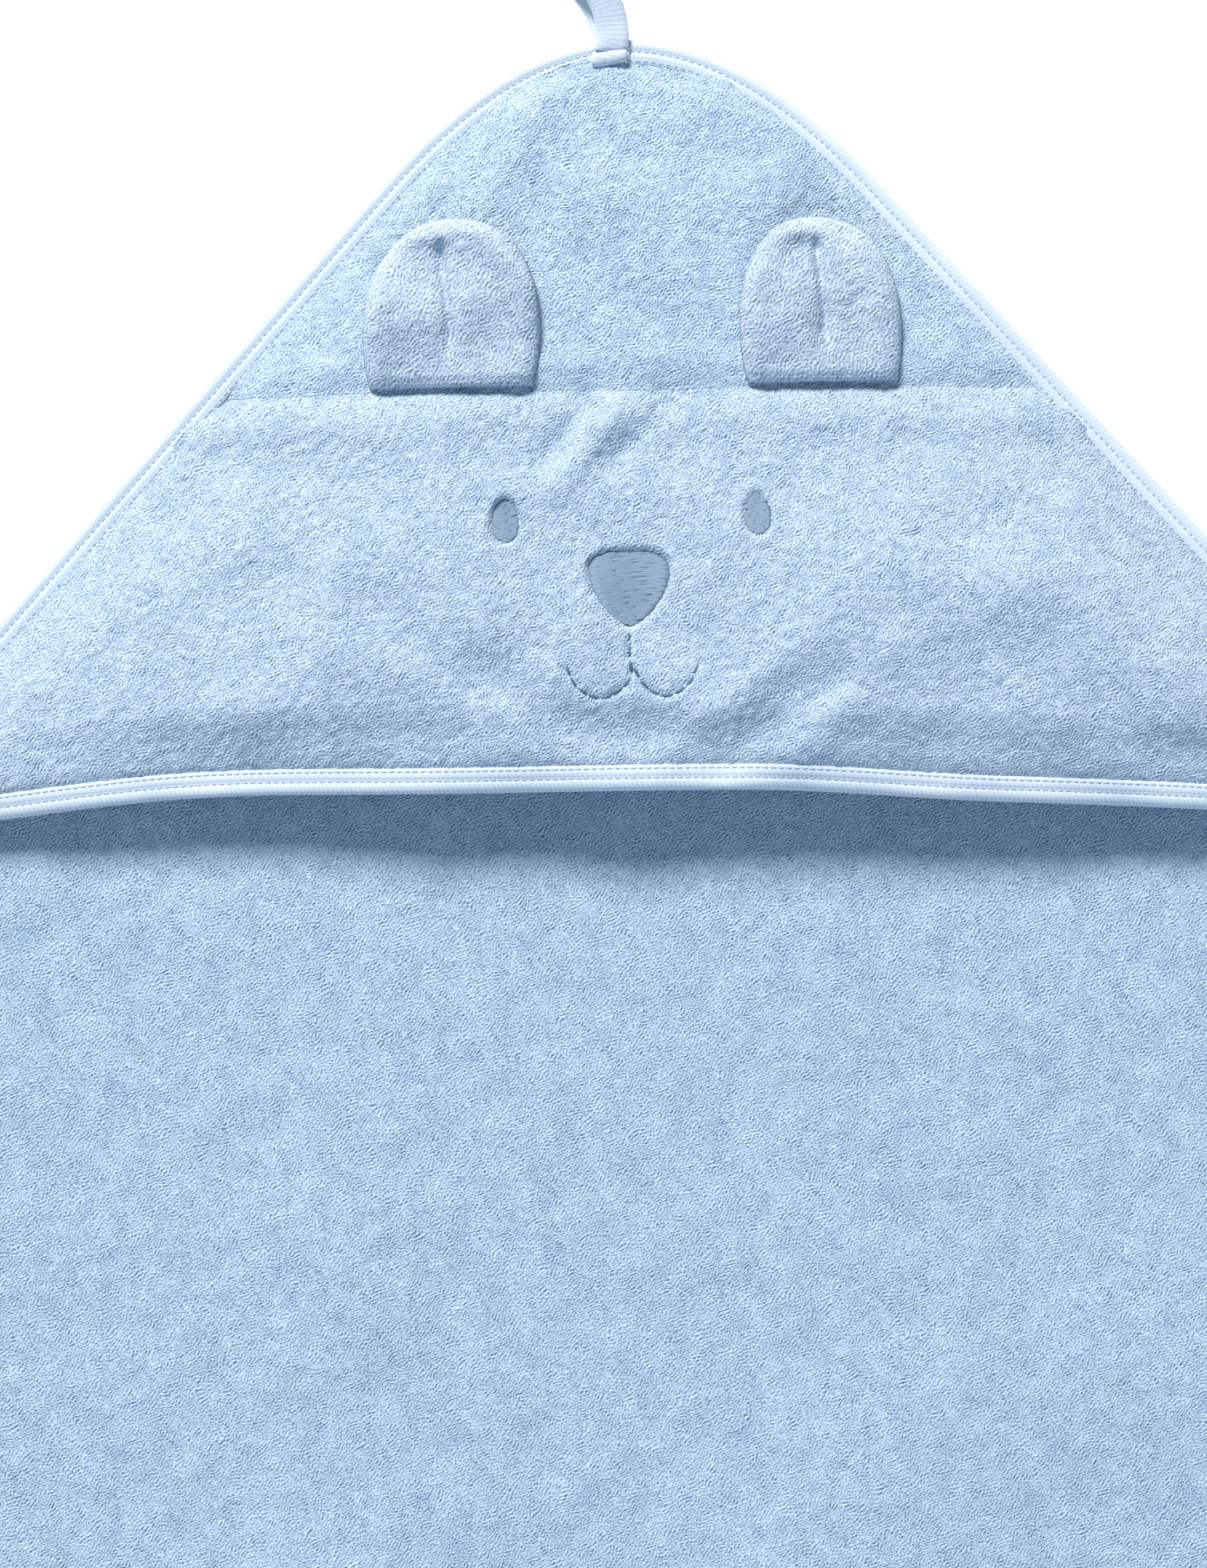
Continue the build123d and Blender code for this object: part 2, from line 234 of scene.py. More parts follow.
def terry_material(name, dark, middle, light, yarn, lay, drift, relief):
    """yarn: spacing of the yarns; lay: their direction in degrees; drift: how far the lay keeps."""
    material, tree, surface = new_material(name)
    coordinates = add(tree, "TexCoord").outputs["Object"]
    drift_noise = add(tree, "TexNoise", {"Vector": coordinates, "Scale": 1 / drift, "Detail": 1.0})
    centred = add(tree, "VectorMath", {0: drift_noise.outputs["Color"], 1: (0.5, 0.5, 0.5)},
                  operation="SUBTRACT")
    push = add(tree, "VectorMath", {0: centred.outputs["Vector"], "Scale": drift * 0.3},
               operation="SCALE")
    pushed = add(tree, "VectorMath", {0: coordinates, 1: push.outputs["Vector"]}, operation="ADD")
    yarns = add(tree, "TexGabor", {"Vector": pushed.outputs["Vector"], "Frequency": WAVES_IN_STROKE,
                                   "Scale": 1 / (WAVES_IN_STROKE * yarn), "Anisotropy": 0.6,
                                   "Orientation": math.radians(lay + 90)})
    curls = add(tree, "TexNoise", {"Vector": pushed.outputs["Vector"], "Scale": 1.8 / yarn, "Detail": 0.5})
    pile = add(tree, "Math", {0: curls.outputs["Fac"], 1: 0.8, 2: yarns.outputs["Value"]},
               operation="MULTIPLY_ADD")
    patches = add(tree, "TexNoise", {"Vector": coordinates, "Scale": 1 / (7 * MM), "Detail": 2.0})
    shade = add(tree, "Math", {0: patches.outputs["Fac"], 1: 0.3, 2: pile.outputs["Value"]},
                operation="MULTIPLY_ADD")
    spread = add(tree, "MapRange", {"Value": shade.outputs["Value"], "From Min": 0.68, "From Max": 1.36})
    ramp = add(tree, "ValToRGB", {"Fac": spread.outputs["Result"]})
    ramp.color_ramp.elements[0].color = linear(dark)
    ramp.color_ramp.elements[1].color = linear(light)
    between = ramp.color_ramp.elements.new(0.5)
    between.color = linear(middle)
    bump = add(tree, "Bump", {"Height": pile.outputs["Value"], "Strength": 1.0, "Distance": relief})
    fill_inputs(tree, surface, {"Base Color": ramp.outputs["Color"], "Normal": bump.outputs["Normal"],
                                "Roughness": 0.95, "Specular IOR Level": 0.15, "Sheen Weight": 0.2,
                                "Sheen Roughness": 0.6})
    return material


# the face is the towel's own terry, drawn a little greyer as painted shade that tones down the lamps'
# brighter light on the hood; the ears' front terry is greyer too
towel_terry = terry_material("looped_cotton_terry", "#557AA4", "#9BB4CB", "#CCDCE9",
                             yarn=YARN, lay=42, drift=8 * MM, relief=0.45 * MM)
face_terry = terry_material("painted_shade_cotton_terry", "#597AA0", "#9DB3CA", "#CDDAE7",
                            yarn=YARN, lay=42, drift=8 * MM, relief=0.45 * MM)
ear_terry = terry_material("longer_pile_cotton_terry", "#637E9F", "#9EB2C8", "#CEDAE6",
                           yarn=1.15 * YARN, lay=52, drift=10 * MM, relief=0.42 * MM)

# %% [markdown]
# ## Rib-knit tape
# The binding and the loop are a fine 1x1 rib knit. The ribs themselves are modelled, because they
# show at the edge of the cloth; the material adds what is finer: painted shade in the furrow beside
# each rib, the fuzz of the yarn and a little unevenness of the dye. The pattern runs along the tape,
# so it uses the tape's own UV map, laid out in real metres.

# %% Rib-knit material
RIB = 1.55 * MM


def rib_knit_material(name, light, dark):
    material, tree, surface = new_material(name)
    flat = add(tree, "UVMap", uv_map="cloth").outputs["UV"]
    split = add(tree, "SeparateXYZ", {"Vector": flat})
    along = add(tree, "Math", {0: split.outputs["X"], 1: 2 * math.pi / RIB}, operation="MULTIPLY")
    rib = add(tree, "Math", {0: along.outputs["Value"]}, operation="COSINE")
    yarn = add(tree, "TexNoise", {"Vector": flat, "Scale": 1 / (0.6 * MM), "Detail": 2.0})
    dye = add(tree, "TexNoise", {"Vector": flat, "Scale": 1 / (25 * MM), "Detail": 2.0})
    relief = add(tree, "Math", {0: rib.outputs["Value"], 1: 0.14, 2: yarn.outputs["Fac"]},
                 operation="MULTIPLY_ADD")
    shade = add(tree, "Math", {0: dye.outputs["Fac"], 1: 0.5, 2: relief.outputs["Value"]},
                operation="MULTIPLY_ADD")
    # the rib relief darkens the colour in the furrows between ribs, which is painted shade; the dye noise is
    # the tape's own unevenness
    ramp = add(tree, "ValToRGB", {"Fac": shade.outputs["Value"]})
    ramp.color_ramp.elements[0].position = 0.45
    ramp.color_ramp.elements[0].color = linear(dark)
    ramp.color_ramp.elements[1].position = 0.95
    ramp.color_ramp.elements[1].color = linear(light)
    bump = add(tree, "Bump", {"Height": relief.outputs["Value"], "Strength": 0.5, "Distance": 0.07 * MM})
    fill_inputs(tree, surface, {"Base Color": ramp.outputs["Color"], "Normal": bump.outputs["Normal"],
                                "Roughness": 0.85, "Specular IOR Level": 0.25, "Sheen Weight": 0.2})
    return material


rib_knit = rib_knit_material("rib_knit_cotton", "#CBD6E4", "#B5C4D7")

# %% [markdown]
# ## Threads
# The rows of topstitching are spun polyester: matt and fuzzy. The face is stitched in rayon, whose
# long straight filaments shine across the thread, so its roughness is lower and it is anisotropic.

# %% Thread materials
def thread_material(name, light, dark, roughness, anisotropy):
    material, tree, surface = new_material(name)
    coordinates = add(tree, "UVMap", uv_map="cloth").outputs["UV"]
    fibres = add(tree, "Mapping", {"Vector": coordinates, "Scale": (250.0, 4000.0, 1.0)})
    strand = add(tree, "TexNoise", {"Vector": fibres.outputs["Vector"], "Scale": 1.0, "Detail": 3.0})
    ramp = add(tree, "ValToRGB", {"Fac": strand.outputs["Fac"]})
    ramp.color_ramp.elements[0].position = 0.2
    ramp.color_ramp.elements[0].color = linear(dark)
    ramp.color_ramp.elements[1].position = 0.8
    ramp.color_ramp.elements[1].color = linear(light)
    bump = add(tree, "Bump", {"Height": strand.outputs["Fac"], "Strength": 0.4, "Distance": 0.1 * MM})
    fill_inputs(tree, surface, {"Base Color": ramp.outputs["Color"], "Normal": bump.outputs["Normal"],
                                "Roughness": roughness, "Anisotropic": anisotropy})
    return material


topstitch_thread = thread_material("spun_polyester_thread", "#B0BFD5", "#93A6C2", 0.7, 0.0)
rayon_thread = thread_material("rayon_embroidery_thread", "#7D94AB", "#71899F", 0.5, 0.3)
# the mouth's thread is painted darker than the eyes' rayon: painted shade, for lying deep between the pile
mouth_thread = thread_material("rayon_embroidery_thread_in_painted_shade", "#587A93", "#3C5A74", 0.45, 0.3)

# %% [markdown]
# ## The towel's outline
# Seen from above the towel is a racked square with soft corners. Each corner is one cubic Bezier
# curve between two straight edges. The outline is walked in steps of equal length, so that ribs and
# stitches can later be counted off along it, starting at the corner furthest from the hood.

# %% Outline helpers
def corner_curve(corner, before, after, steps=80):
    """One soft corner, as points on a Bezier curve from the edge before it to the edge after it."""
    back = (before - corner) / np.linalg.norm(before - corner)
    on = (after - corner) / np.linalg.norm(after - corner)
    handle = CORNER_LENGTH * (1 - CORNER_FULLNESS)
    controls = [corner + back * CORNER_LENGTH, corner + back * handle,
                corner + on * handle, corner + on * CORNER_LENGTH]
    t = np.linspace(0, 1, steps)[:, None]
    weights = [(1 - t) ** 3, 3 * (1 - t) ** 2 * t, 3 * (1 - t) * t ** 2, t ** 3]
    return sum(w * c for w, c in zip(weights, controls))


def walk_evenly(points, spacing, closed=False):
    """The same line with points an equal length apart, and its total length."""
    if closed:
        points = np.vstack([points, points[:1]])
    steps = np.linalg.norm(np.diff(points, axis=0), axis=1)
    lengths = np.concatenate([[0], np.cumsum(steps)])
    count = max(2, int(round(lengths[-1] / spacing)))
    places = np.linspace(0, lengths[-1], count + 1)
    if closed:
        places = places[:-1]
    even = np.column_stack([np.interp(places, lengths, points[:, i]) for i in range(points.shape[1])])
    return even, lengths[-1]


def towel_corners():
    reach_x, reach_y = SIDE * math.sin(HALF_ANGLE), SIDE * math.cos(HALF_ANGLE)
    arms = [(0, -reach_y), (-reach_x, 0), (0, reach_y), (reach_x, 0)]
    return [np.array([x, centre_y + y]) for x, y in arms]


def outline_points(spacing):
    """The outline, clockwise from above, from the far corner over the hood's corner and back."""
    corners = towel_corners()
    curves = [corner_curve(corners[i], corners[i - 1], corners[(i + 1) % 4]) for i in range(4)]
    first = curves[0]
    middle = len(first) // 2
    line = np.vstack([first[middle:], curves[1], curves[2], curves[3], first[:middle]])
    return walk_evenly(line, spacing, closed=True)


def inward_normals(points):
    """For a clockwise closed line, the unit vectors that point into it."""
    along = np.roll(points, -1, axis=0) - np.roll(points, 1, axis=0)
    along /= np.linalg.norm(along, axis=1)[:, None]
    return np.column_stack([along[:, 1], -along[:, 0]])


outline, outline_length = outline_points(1.0 * MM)
outline_inward = inward_normals(outline)
outline_tree = KDTree(len(outline))
for i, point in enumerate(outline):
    outline_tree.insert((point[0], point[1], 0), i)
outline_tree.balance()
print(f"outline {outline_length:.3f} m, {len(outline)} points")


def distance_inside(x, y):
    """How far places seen from above are from the towel's outline."""
    found = [outline_tree.find((a, b, 0))[2] for a, b in zip(np.ravel(x), np.ravel(y))]
    return np.reshape(found, np.shape(x))


# %% [markdown]
# ## Soft unevenness
# No cloth lies truly flat. Filtered noise gives bumps of one chosen size only: random numbers on a
# grid, with every wave outside the wanted range removed by a Fourier transform. Three such fields
# are used: long swells of cloth that lifts off the floor, palm-sized softness, and the pile's clumps.

# %% Noise fields
FIELD_SIZE = 1.3        # metres, larger than the towel
FIELD_CELLS = 1300


def noise_field(shortest, longest):
    """Random relief with waves between two lengths, scaled to a spread of one."""
    waves = np.fft.fft2(random_numbers.standard_normal((FIELD_CELLS, FIELD_CELLS)))
    frequency = np.fft.fftfreq(FIELD_CELLS, FIELD_SIZE / FIELD_CELLS)
    total = np.hypot(frequency[:, None], frequency[None, :])
    keep = np.exp(-(total * shortest) ** 4) * (1 - np.exp(-(total * longest) ** 4))
    field = np.real(np.fft.ifft2(waves * keep))
    return field / field.std()


def sample(field, x, y):
    """Reads a noise field at places on the towel, between its grid points."""
    column = (np.asarray(x) / FIELD_SIZE + 0.5) * FIELD_CELLS
    row = (np.asarray(y) / FIELD_SIZE + 0.5) * FIELD_CELLS
    c, r = np.floor(column).astype(int), np.floor(row).astype(int)
    fc, fr = column - c, row - r
    c, r = c % FIELD_CELLS, r % FIELD_CELLS
    c2, r2 = (c + 1) % FIELD_CELLS, (r + 1) % FIELD_CELLS
    top = field[r, c] * (1 - fc) + field[r, c2] * fc
    low = field[r2, c] * (1 - fc) + field[r2, c2] * fc
    return top * (1 - fr) + low * fr


swells = noise_field(120 * MM, 330 * MM)
softness = noise_field(28 * MM, 90 * MM)
clumps = noise_field(2.6 * MM, 7 * MM)


def smoothstep(low, high, value):
    t = np.clip((value - low) / (high - low), 0, 1)
    return t * t * (3 - 2 * t)


def bell(distance, width):
    return np.exp(-(distance / width) ** 2)


def lift_off_floor(x, y):
    """Height of the cloth's underside: mostly on the floor, raised in long soft swells."""
    free = smoothstep(brim_end_depth, brim_end_depth + 420 * MM, apex_y - y)
    swell = np.log1p(np.exp(2.2 * (sample(swells, x, y) - 0.3))) / 2.2
    return 3.0 * MM * free * swell


# %% [markdown]
# ## Turning points into cloth
# Every flat piece is a grid of points seen from above, given once for its upper and once for its
# under side. One function sews the two together along the rim into a closed cloth with thickness.

# %% Mesh helpers
def make_piece(name, points, faces, material, flat=None):
    """A smooth-shaded mesh object; flat gives each point's place on the cloth for the UV map."""
    mesh = bpy.data.meshes.new(name)
    mesh.from_pydata(np.asarray(points).tolist(), [], faces)
    mesh.materials.append(material)
    mesh.polygons.foreach_set("use_smooth", [True] * len(mesh.polygons))
    if flat is not None:
        layer = mesh.uv_layers.new(name="cloth")
        corner_points = np.zeros(len(mesh.loops), int)
        mesh.loops.foreach_get("vertex_index", corner_points)
        layer.data.foreach_set("uv", np.asarray(flat)[corner_points].astype(np.float32).ravel())
    mesh.update()
    piece = bpy.data.objects.new(name, mesh)
    bpy.context.scene.collection.objects.link(piece)
    return piece


def grid_faces(rows, columns, start=0, flip=False, wrap=False):
    """Quads between neighbouring points of a grid stored row after row."""
    r = np.arange(rows - 1)[:, None]
    last = columns if wrap else columns - 1
    c = np.arange(last)[None, :]
    a = start + r * columns + c
    b = start + r * columns + (c + 1) % columns
    quads = np.stack([a, b, b + columns, a + columns], axis=-1).reshape(-1, 4)
    return (quads[:, ::-1] if flip else quads).tolist()


def make_cloth(name, upper, under, material, flip=False):
    """A closed cloth from two grids of points; flip turns it where the columns run the other way."""
    rows, columns, _ = upper.shape
    count = rows * columns
    index = np.arange(count).reshape(rows, columns)
    faces = grid_faces(rows, columns, flip=not flip) + grid_faces(rows, columns, count, flip=flip)
    for line in (index[0], index[-1][::-1], index[:, 0][::-1], index[:, -1]):
        quads = np.column_stack([line[:-1], line[1:], line[1:] + count, line[:-1] + count])
        faces += (quads if not flip else quads[:, ::-1]).tolist()
    points = np.concatenate([upper.reshape(-1, 3), under.reshape(-1, 3)])
    return make_piece(name, points, faces, material, flat=points[:, :2])


# %% [markdown]
# ## The towel square
# One big sheet of terry. Its edge is squeezed in the binding, so it stops a few millimetres inside
# the outline and dips there; just inside the binding the pile puffs up again. It is shaped by
# formula rather than by a cloth simulation: it lies on the floor, so its swells are small and known.

# %% Towel square
SHEET_EDGE = 5.5 * MM       # cloth edges end this far inside the outline, hidden in the binding
SQUARE_CELLS = 220


def edge_pinch(inside):
    """How much the binding presses the pile down near the edge, and the puff beside it."""
    return -0.9 * MM * bell(inside - 6.5 * MM, 3 * MM) + 0.5 * MM * bell(inside - 15 * MM, 6 * MM)


def square_grid(cells):
    """Rows of points parallel to the square's edges, cut back at the soft corners.

    s and t are shares of the two edges that meet at the hooded corner. The rows are closer together
    near the edges, where the cloth is pinched.
    """
    apex = np.array([0, apex_y])
    corners = towel_corners()
    to_right, to_left = corners[3] - apex, corners[1] - apex
    edge = outline + outline_inward * SHEET_EDGE
    inverse = np.linalg.inv(np.column_stack([to_right, to_left]))
    s, t = inverse @ (edge - apex).T
    start, end = np.argmin(s), np.argmax(s)
    order = np.roll(np.arange(len(s)), -start)
    turn = int(np.where(order == end)[0][0])
    sides = [order[:turn + 1], np.concatenate([order[turn:], order[:1]])[::-1]]
    k = np.linspace(0, 1, cells)
    k = k - 0.5 * np.sin(2 * np.pi * k) / (2 * np.pi)
    row_s = s[start] + (s[end] - s[start]) * np.clip(k, 0.0004, 0.9996)
    ends = [np.interp(row_s, np.maximum.accumulate(s[side]), t[side]) for side in sides]
    grid_t = ends[0][:, None] + (ends[1] - ends[0])[:, None] * k[None, :]
    grid_s = np.repeat(row_s[:, None], cells, axis=1)
    return apex + grid_s[..., None] * to_right + grid_t[..., None] * to_left


def make_towel_square():
    place = square_grid(SQUARE_CELLS)
    x, y = place[..., 0], place[..., 1]
    inside = distance_inside(x, y)
    floor = lift_off_floor(x, y)
    beside_hood = 1 - smoothstep(brim_depth - 20 * MM, brim_end_depth + 10 * MM, apex_y - y)
    squeeze = edge_pinch(inside) * (1 - beside_hood)
    open_cloth = smoothstep(8 * MM, 40 * MM, inside)
    soft = 0.12 * MM * sample(softness, x, y) * open_cloth * (1 - beside_hood)
    top = floor + BODY_T + squeeze + soft
    upper = np.dstack([x, y, top])
    under = np.dstack([x, y, floor])
    piece = make_cloth("towel_square", upper, under, towel_terry, flip=True)
    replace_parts(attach(piece, "towel"), "body_panel")
    return piece


towel_square = make_towel_square()
print(f"towel square: {len(towel_square.data.polygons)} faces")

# %% [markdown]
# ## Smooth lines through a few points
# Ears, eyes, nose and mouth are drawn like a pattern maker would: a few points, and a smooth line
# through them. A Catmull-Rom spline passes through every point that it is given, which makes the
# numbers easy to choose.

# %% Line helpers
def smooth_line(points, steps=12, closed=False):
    """A Catmull-Rom line through the points; steps is the number of pieces between two of them."""
    points = np.asarray(points, float)
    if closed:
        points = np.vstack([points[-1:], points, points[:2]])
    else:
        points = np.vstack([2 * points[0] - points[1], points, 2 * points[-1] - points[-2]])
    t = np.arange(steps)[:, None] / steps
    line = []
    for a, b, c, d in zip(points, points[1:], points[2:], points[3:]):
        line.append(0.5 * (2 * b + (c - a) * t + (2 * a - 5 * b + 4 * c - d) * t ** 2
                           + (3 * b - a - 3 * c + d) * t ** 3))
    line = np.vstack(line)
    return line if closed else np.vstack([line, points[-2:-1]])


def distance_to_line(x, y, line, closed=False):
    """How far places are from a line of straight pieces."""
    line = np.vstack([line, line[:1]]) if closed else np.asarray(line)
    nearest = np.full(np.shape(x), np.inf)
    for (ax, ay), (bx, by) in zip(line, line[1:]):
        run_x, run_y = bx - ax, by - ay
        t = ((x - ax) * run_x + (y - ay) * run_y) / (run_x ** 2 + run_y ** 2)
        t = np.clip(t, 0, 1)
        nearest = np.minimum(nearest, np.hypot(x - ax - t * run_x, y - ay - t * run_y))
    return nearest


def depth_in_shape(x, y, shape):
    """Distance to a closed line, positive inside it and negative outside."""
    inside = np.zeros(np.shape(x), bool)
    for (ax, ay), (bx, by) in zip(shape, np.roll(shape, -1, axis=0)):
        if ay != by:
            crosses = (ay > y) != (by > y)
            inside ^= crosses & (x < (bx - ax) * (y - ay) / (by - ay) + ax)
    distance = distance_to_line(x, y, shape, closed=True)
    return np.where(inside, distance, -distance)


# %% [markdown]
# ## The face, as a pattern drawing
# Places on the hood are given as x and depth, the distance below the point where the two hood edges
# would meet. Two egg-shaped eyes, a rounded triangle for a nose, and three rows of hand-sized
# running stitches for the mouth. The hood's relief needs these shapes too, because a dense
# embroidery presses the pile down, so they are drawn before the hood is made.

# %% Face shapes
def egg(centre_x, centre_depth, half_width, half_height):
    """An oval that is a little narrower towards the bottom."""
    turn = np.linspace(0, 2 * math.pi, 48, endpoint=False)
    narrow = 1 - 0.13 * np.cos(turn)
    return np.column_stack([centre_x + half_width * np.sin(turn) * narrow[::-1],
                            centre_depth - half_height * np.cos(turn)])


NOSE_X = -1.6               # the nose sits a little left of the hood's centre line
NOSE_SIDE = [(7.1, 219.8), (12.0, 222.0), (13.6, 225.8), (12.9, 230.0), (11.3, 233.8), (7.6, 239.3),
             (2.8, 243.3)]
NOSE = [(0, 219.4), *NOSE_SIDE, (0, 244.4), *[(-x, depth) for x, depth in NOSE_SIDE[::-1]]]
nose_shape = smooth_line([((NOSE_X + x) * MM, depth * MM) for x, depth in NOSE], closed=True)
# each filled shape, and how far its stitches press the pile down
filled_shapes = {
    "left_eye_embroidery": (egg(-42.8 * MM, 208.8 * MM, 4.5 * MM, 7.2 * MM), 1.5 * MM),
    "right_eye_embroidery": (egg(41.6 * MM, 207.7 * MM, 4.4 * MM, 6.9 * MM), 0.7 * MM),
    "nose_embroidery": (nose_shape, 1.3 * MM)}
MOUTH = {"philtrum_stitches": [(-2.0, 245.2), (-1.9, 253.0), (-1.4, 260.5)],
         "mouth_left_stitches": [(-23.2, 257.0), (-19.6, 264.6), (-11.6, 268.4), (-4.6, 265.2),
                                 (-1.6, 261.6)],
         "mouth_right_stitches": [(-0.6, 258.2), (3.4, 264.8), (10.2, 268.0), (17.4, 264.4),
                                  (21.2, 257.2)]}
mouth_lines = {name: smooth_line(np.array(points) * MM) for name, points in MOUTH.items()}

# %% [markdown]
# ## The hood's shape
# The hood is pulled flat along its two sewn edges and stands a little open at the brim, so its
# underside is a shallow cone. On that lie the folds that years of being folded and stuffed leave:
# each is a soft ridge or valley along a short line. The upper face adds what the pile does: it is
# pulled down in the cross seam and at the binding, puffs up beside them, sinks under the embroidery,
# and clumps everywhere.

# %% Hood relief
HOOD_LOW = 4.5 * MM         # the hood's underside at its tip, above the floor
HOOD_RISE = 15.0 * MM       # how much higher the middle of the brim stands
BRIM_ROLL = 6.2 * MM        # the face's free edge rolls down from a crest this high
RIGHT_ROLL = 3.6 * MM       # the right half was left standing higher
EDGE_ROLL = 3.3 * MM        # both hood panels puff up beside the sewn edges
cone_start = BINDING_W / math.sin(HALF_ANGLE)
rise_start = tip_depth + 5 * MM
# points (x, depth) along the fold, then its height and width, all in millimetres
FOLDS = [
    ([(-70, 250), (-42, 268), (-10, 281), (16, 284)], -2.6, 9),
    ([(-56, 199), (-32, 198)], 1.0, 8),
    ([(12, 285), (38, 265), (56, 252)], 1.5, 6),
    ([(28, 292), (48, 277), (68, 264)], -1.7, 6.5),
    ([(52, 291), (86, 254)], 1.2, 8),
    ([(96, 292), (118, 255)], -1.4, 12),
    ([(-23, 196), (-4, 171)], 1.9, 6),
    ([(-29, 188), (-15, 171)], -1.8, 5),
    ([(-7, 190), (12, 171)], -1.6, 5),
    ([(20, 200), (32, 174)], 1.0, 8),
    ([(-150, 290), (-60, 285)], -1.8, 16),
    ([(-190, 280), (-120, 215)], -1.5, 22),
    ([(100, 128), (104, 140)], -1.6, 9),
    ([(20, 62), (30, 72)], -1.6, 8),
    ([(-20, 90), (10, 120)], 0.9, 14),
    ([(140, 240), (190, 285)], 1.4, 18),
    ([(80, 176), (120, 196)], 0.9, 12),
    ([(-110, 180), (-60, 188)], 1.0, 12),
]


def brim_line(x):
    """Depth of the brim's edge: a shallow arch, drawn up a little on one side and down on the other."""
    arch = brim_depth + (brim_end_depth - brim_depth) * (x / brim_end_x) ** 2
    drawn_up = 3.5 * MM * bell(x + 150 * MM, 65 * MM)
    drawn_down = 3.1 * MM * smoothstep(35 * MM, 125 * MM, x) * (1 - smoothstep(215 * MM, 275 * MM, x))
    return arch - drawn_up + drawn_down


def seam_line(x):
    """Depth of the cross seam, drawn up a little where the ears are sewn in."""
    at_ears = bell(np.abs(x) - 62 * MM, 34 * MM)
    return seam_depth + 1.7 * MM * (1 - at_ears)


def free_edge_roll(x, depth, from_edge):
    """How far the face stands up behind its brim, less in the middle and at the sewn sides."""
    from_brim = brim_line(x) - depth
    right = smoothstep(15 * MM, 85 * MM, x)
    roll = BRIM_ROLL * smoothstep(7 * MM, 31 * MM, from_brim) * (1 - 0.5 * bell(x, 55 * MM))
    roll = roll - 0.25 * np.maximum(10 * MM - from_brim, 0)
    roll = roll + RIGHT_ROLL * right * smoothstep(8 * MM, 75 * MM, from_brim)
    return roll * smoothstep(seam_depth, seam_depth + 70 * MM, depth) * smoothstep(4 * MM, 50 * MM, from_edge)


def hood_base(x, depth):
    """Underside of the hood's terry."""
    from_edge = depth * math.sin(HALF_ANGLE) - np.abs(x) * math.cos(HALF_ANGLE)
    from_sides = np.minimum(from_edge, depth - tip_depth)
    roll = free_edge_roll(x, depth, from_edge) + EDGE_ROLL * smoothstep(5 * MM, 31 * MM, from_sides)
    rise = HOOD_RISE * np.maximum((depth - rise_start) / (brim_depth - rise_start), 0)
    half = (depth - cone_start) * math.tan(HALF_ANGLE)
    crown = 1 - np.clip(x / half, -1, 1) ** 2
    folds = 0.5 * MM * sample(softness, x, apex_y - depth)
    for line, height, width in FOLDS:
        folds = folds + height * MM * bell(distance_to_line(x, depth, np.array(line) * MM), width * MM)
    return HOOD_LOW + rise * crown + roll + folds * smoothstep(0, 0.25, crown)


def hood_pile(x, depth, inside):
    """How far the pile stands above or below its even thickness on the upper face."""
    from_seam = depth - seam_line(x)
    pile = -1.0 * MM * bell(inside - 6.0 * MM, 3 * MM) + 0.6 * MM * bell(inside - 15 * MM, 5 * MM)
    pile += -0.4 * MM * bell(from_seam, 1.6 * MM) - 1.0 * MM * bell(from_seam, 5 * MM)
    pile += 1.1 * MM * bell(from_seam - 11 * MM, 7 * MM) + 0.3 * MM * bell(from_seam + 9 * MM, 5 * MM)
    from_brim = brim_line(x) - depth
    pile += -1.0 * MM * bell(from_brim - 6.5 * MM, 3 * MM) + 0.7 * MM * bell(from_brim - 14 * MM, 5 * MM)
    for shape, pressed in filled_shapes.values():
        reach = depth_in_shape(x, depth, shape)
        pile += 0.25 * MM * bell(reach + 3 * MM, 1.5 * MM)
        pile += -(pressed + 0.35 * MM) * smoothstep(-1.2 * MM, -0.1 * MM, reach)
    for line in mouth_lines.values():
        pile += -0.75 * MM * bell(distance_to_line(x, depth, line[::4]), 1.1 * MM)
    return pile + 0.16 * MM * sample(clumps, x, apex_y - depth)


def hood_top(x, depth, inside=1.0):
    return hood_base(x, depth) + HOOD_T + hood_pile(x, depth, inside)


# %% [markdown]
# ## Hood panels
# The hood is two panels of terry joined by the cross seam: the upper one, which never moves, and the
# face, which is the part that lifts over a baby's head. The face is made as a left and a right half
# that meet on the centre line.

# %% Hood panels
PANEL_STEP = 1.0 * MM
PANEL_COLUMNS = round(0.24 / PANEL_STEP)
SEAM_GAP = 0.05 * MM        # half the gap between the two panels in the cross seam
HOLD = 0.0002               # share of a panel's side between its rim and the row that holds it


def held_steps(count):
    """Even steps from 0 to 1 with one more very near each end, which keeps the rim's shading narrow."""
    even = np.linspace(0, 1, count)
    return np.concatenate([[0, HOLD], even[1:-1], [1 - HOLD, 1]])


def panel_place(rows, shares, first_depth, last_depth):
    """Places of a panel; shares run from -1 at the left edge over 0 on the centre line to 1."""
    v = held_steps(rows)[:, None]
    u = shares[None, :]
    x = np.zeros((len(v), len(shares)))
    for _ in range(4):
        depth = first_depth(x) + v * (last_depth(x) - first_depth(x))
        x = np.where(u < 0, u * edge_x(depth, -1), u * edge_x(depth, 1))
    return x, depth


def edge_x(depth, side):
    """Where the hood's terry ends at the side, inside the binding."""
    edge = outline + outline_inward * SHEET_EDGE
    near = edge[(edge[:, 0] * side > 0) & (edge[:, 1] > centre_y)]
    near = near[np.argsort(-near[:, 1])]
    return np.interp(depth, apex_y - near[:, 1], np.abs(near[:, 0]))


def sew_to_side(piece):
    """Bakes the piece's placement into its points."""
    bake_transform(piece)


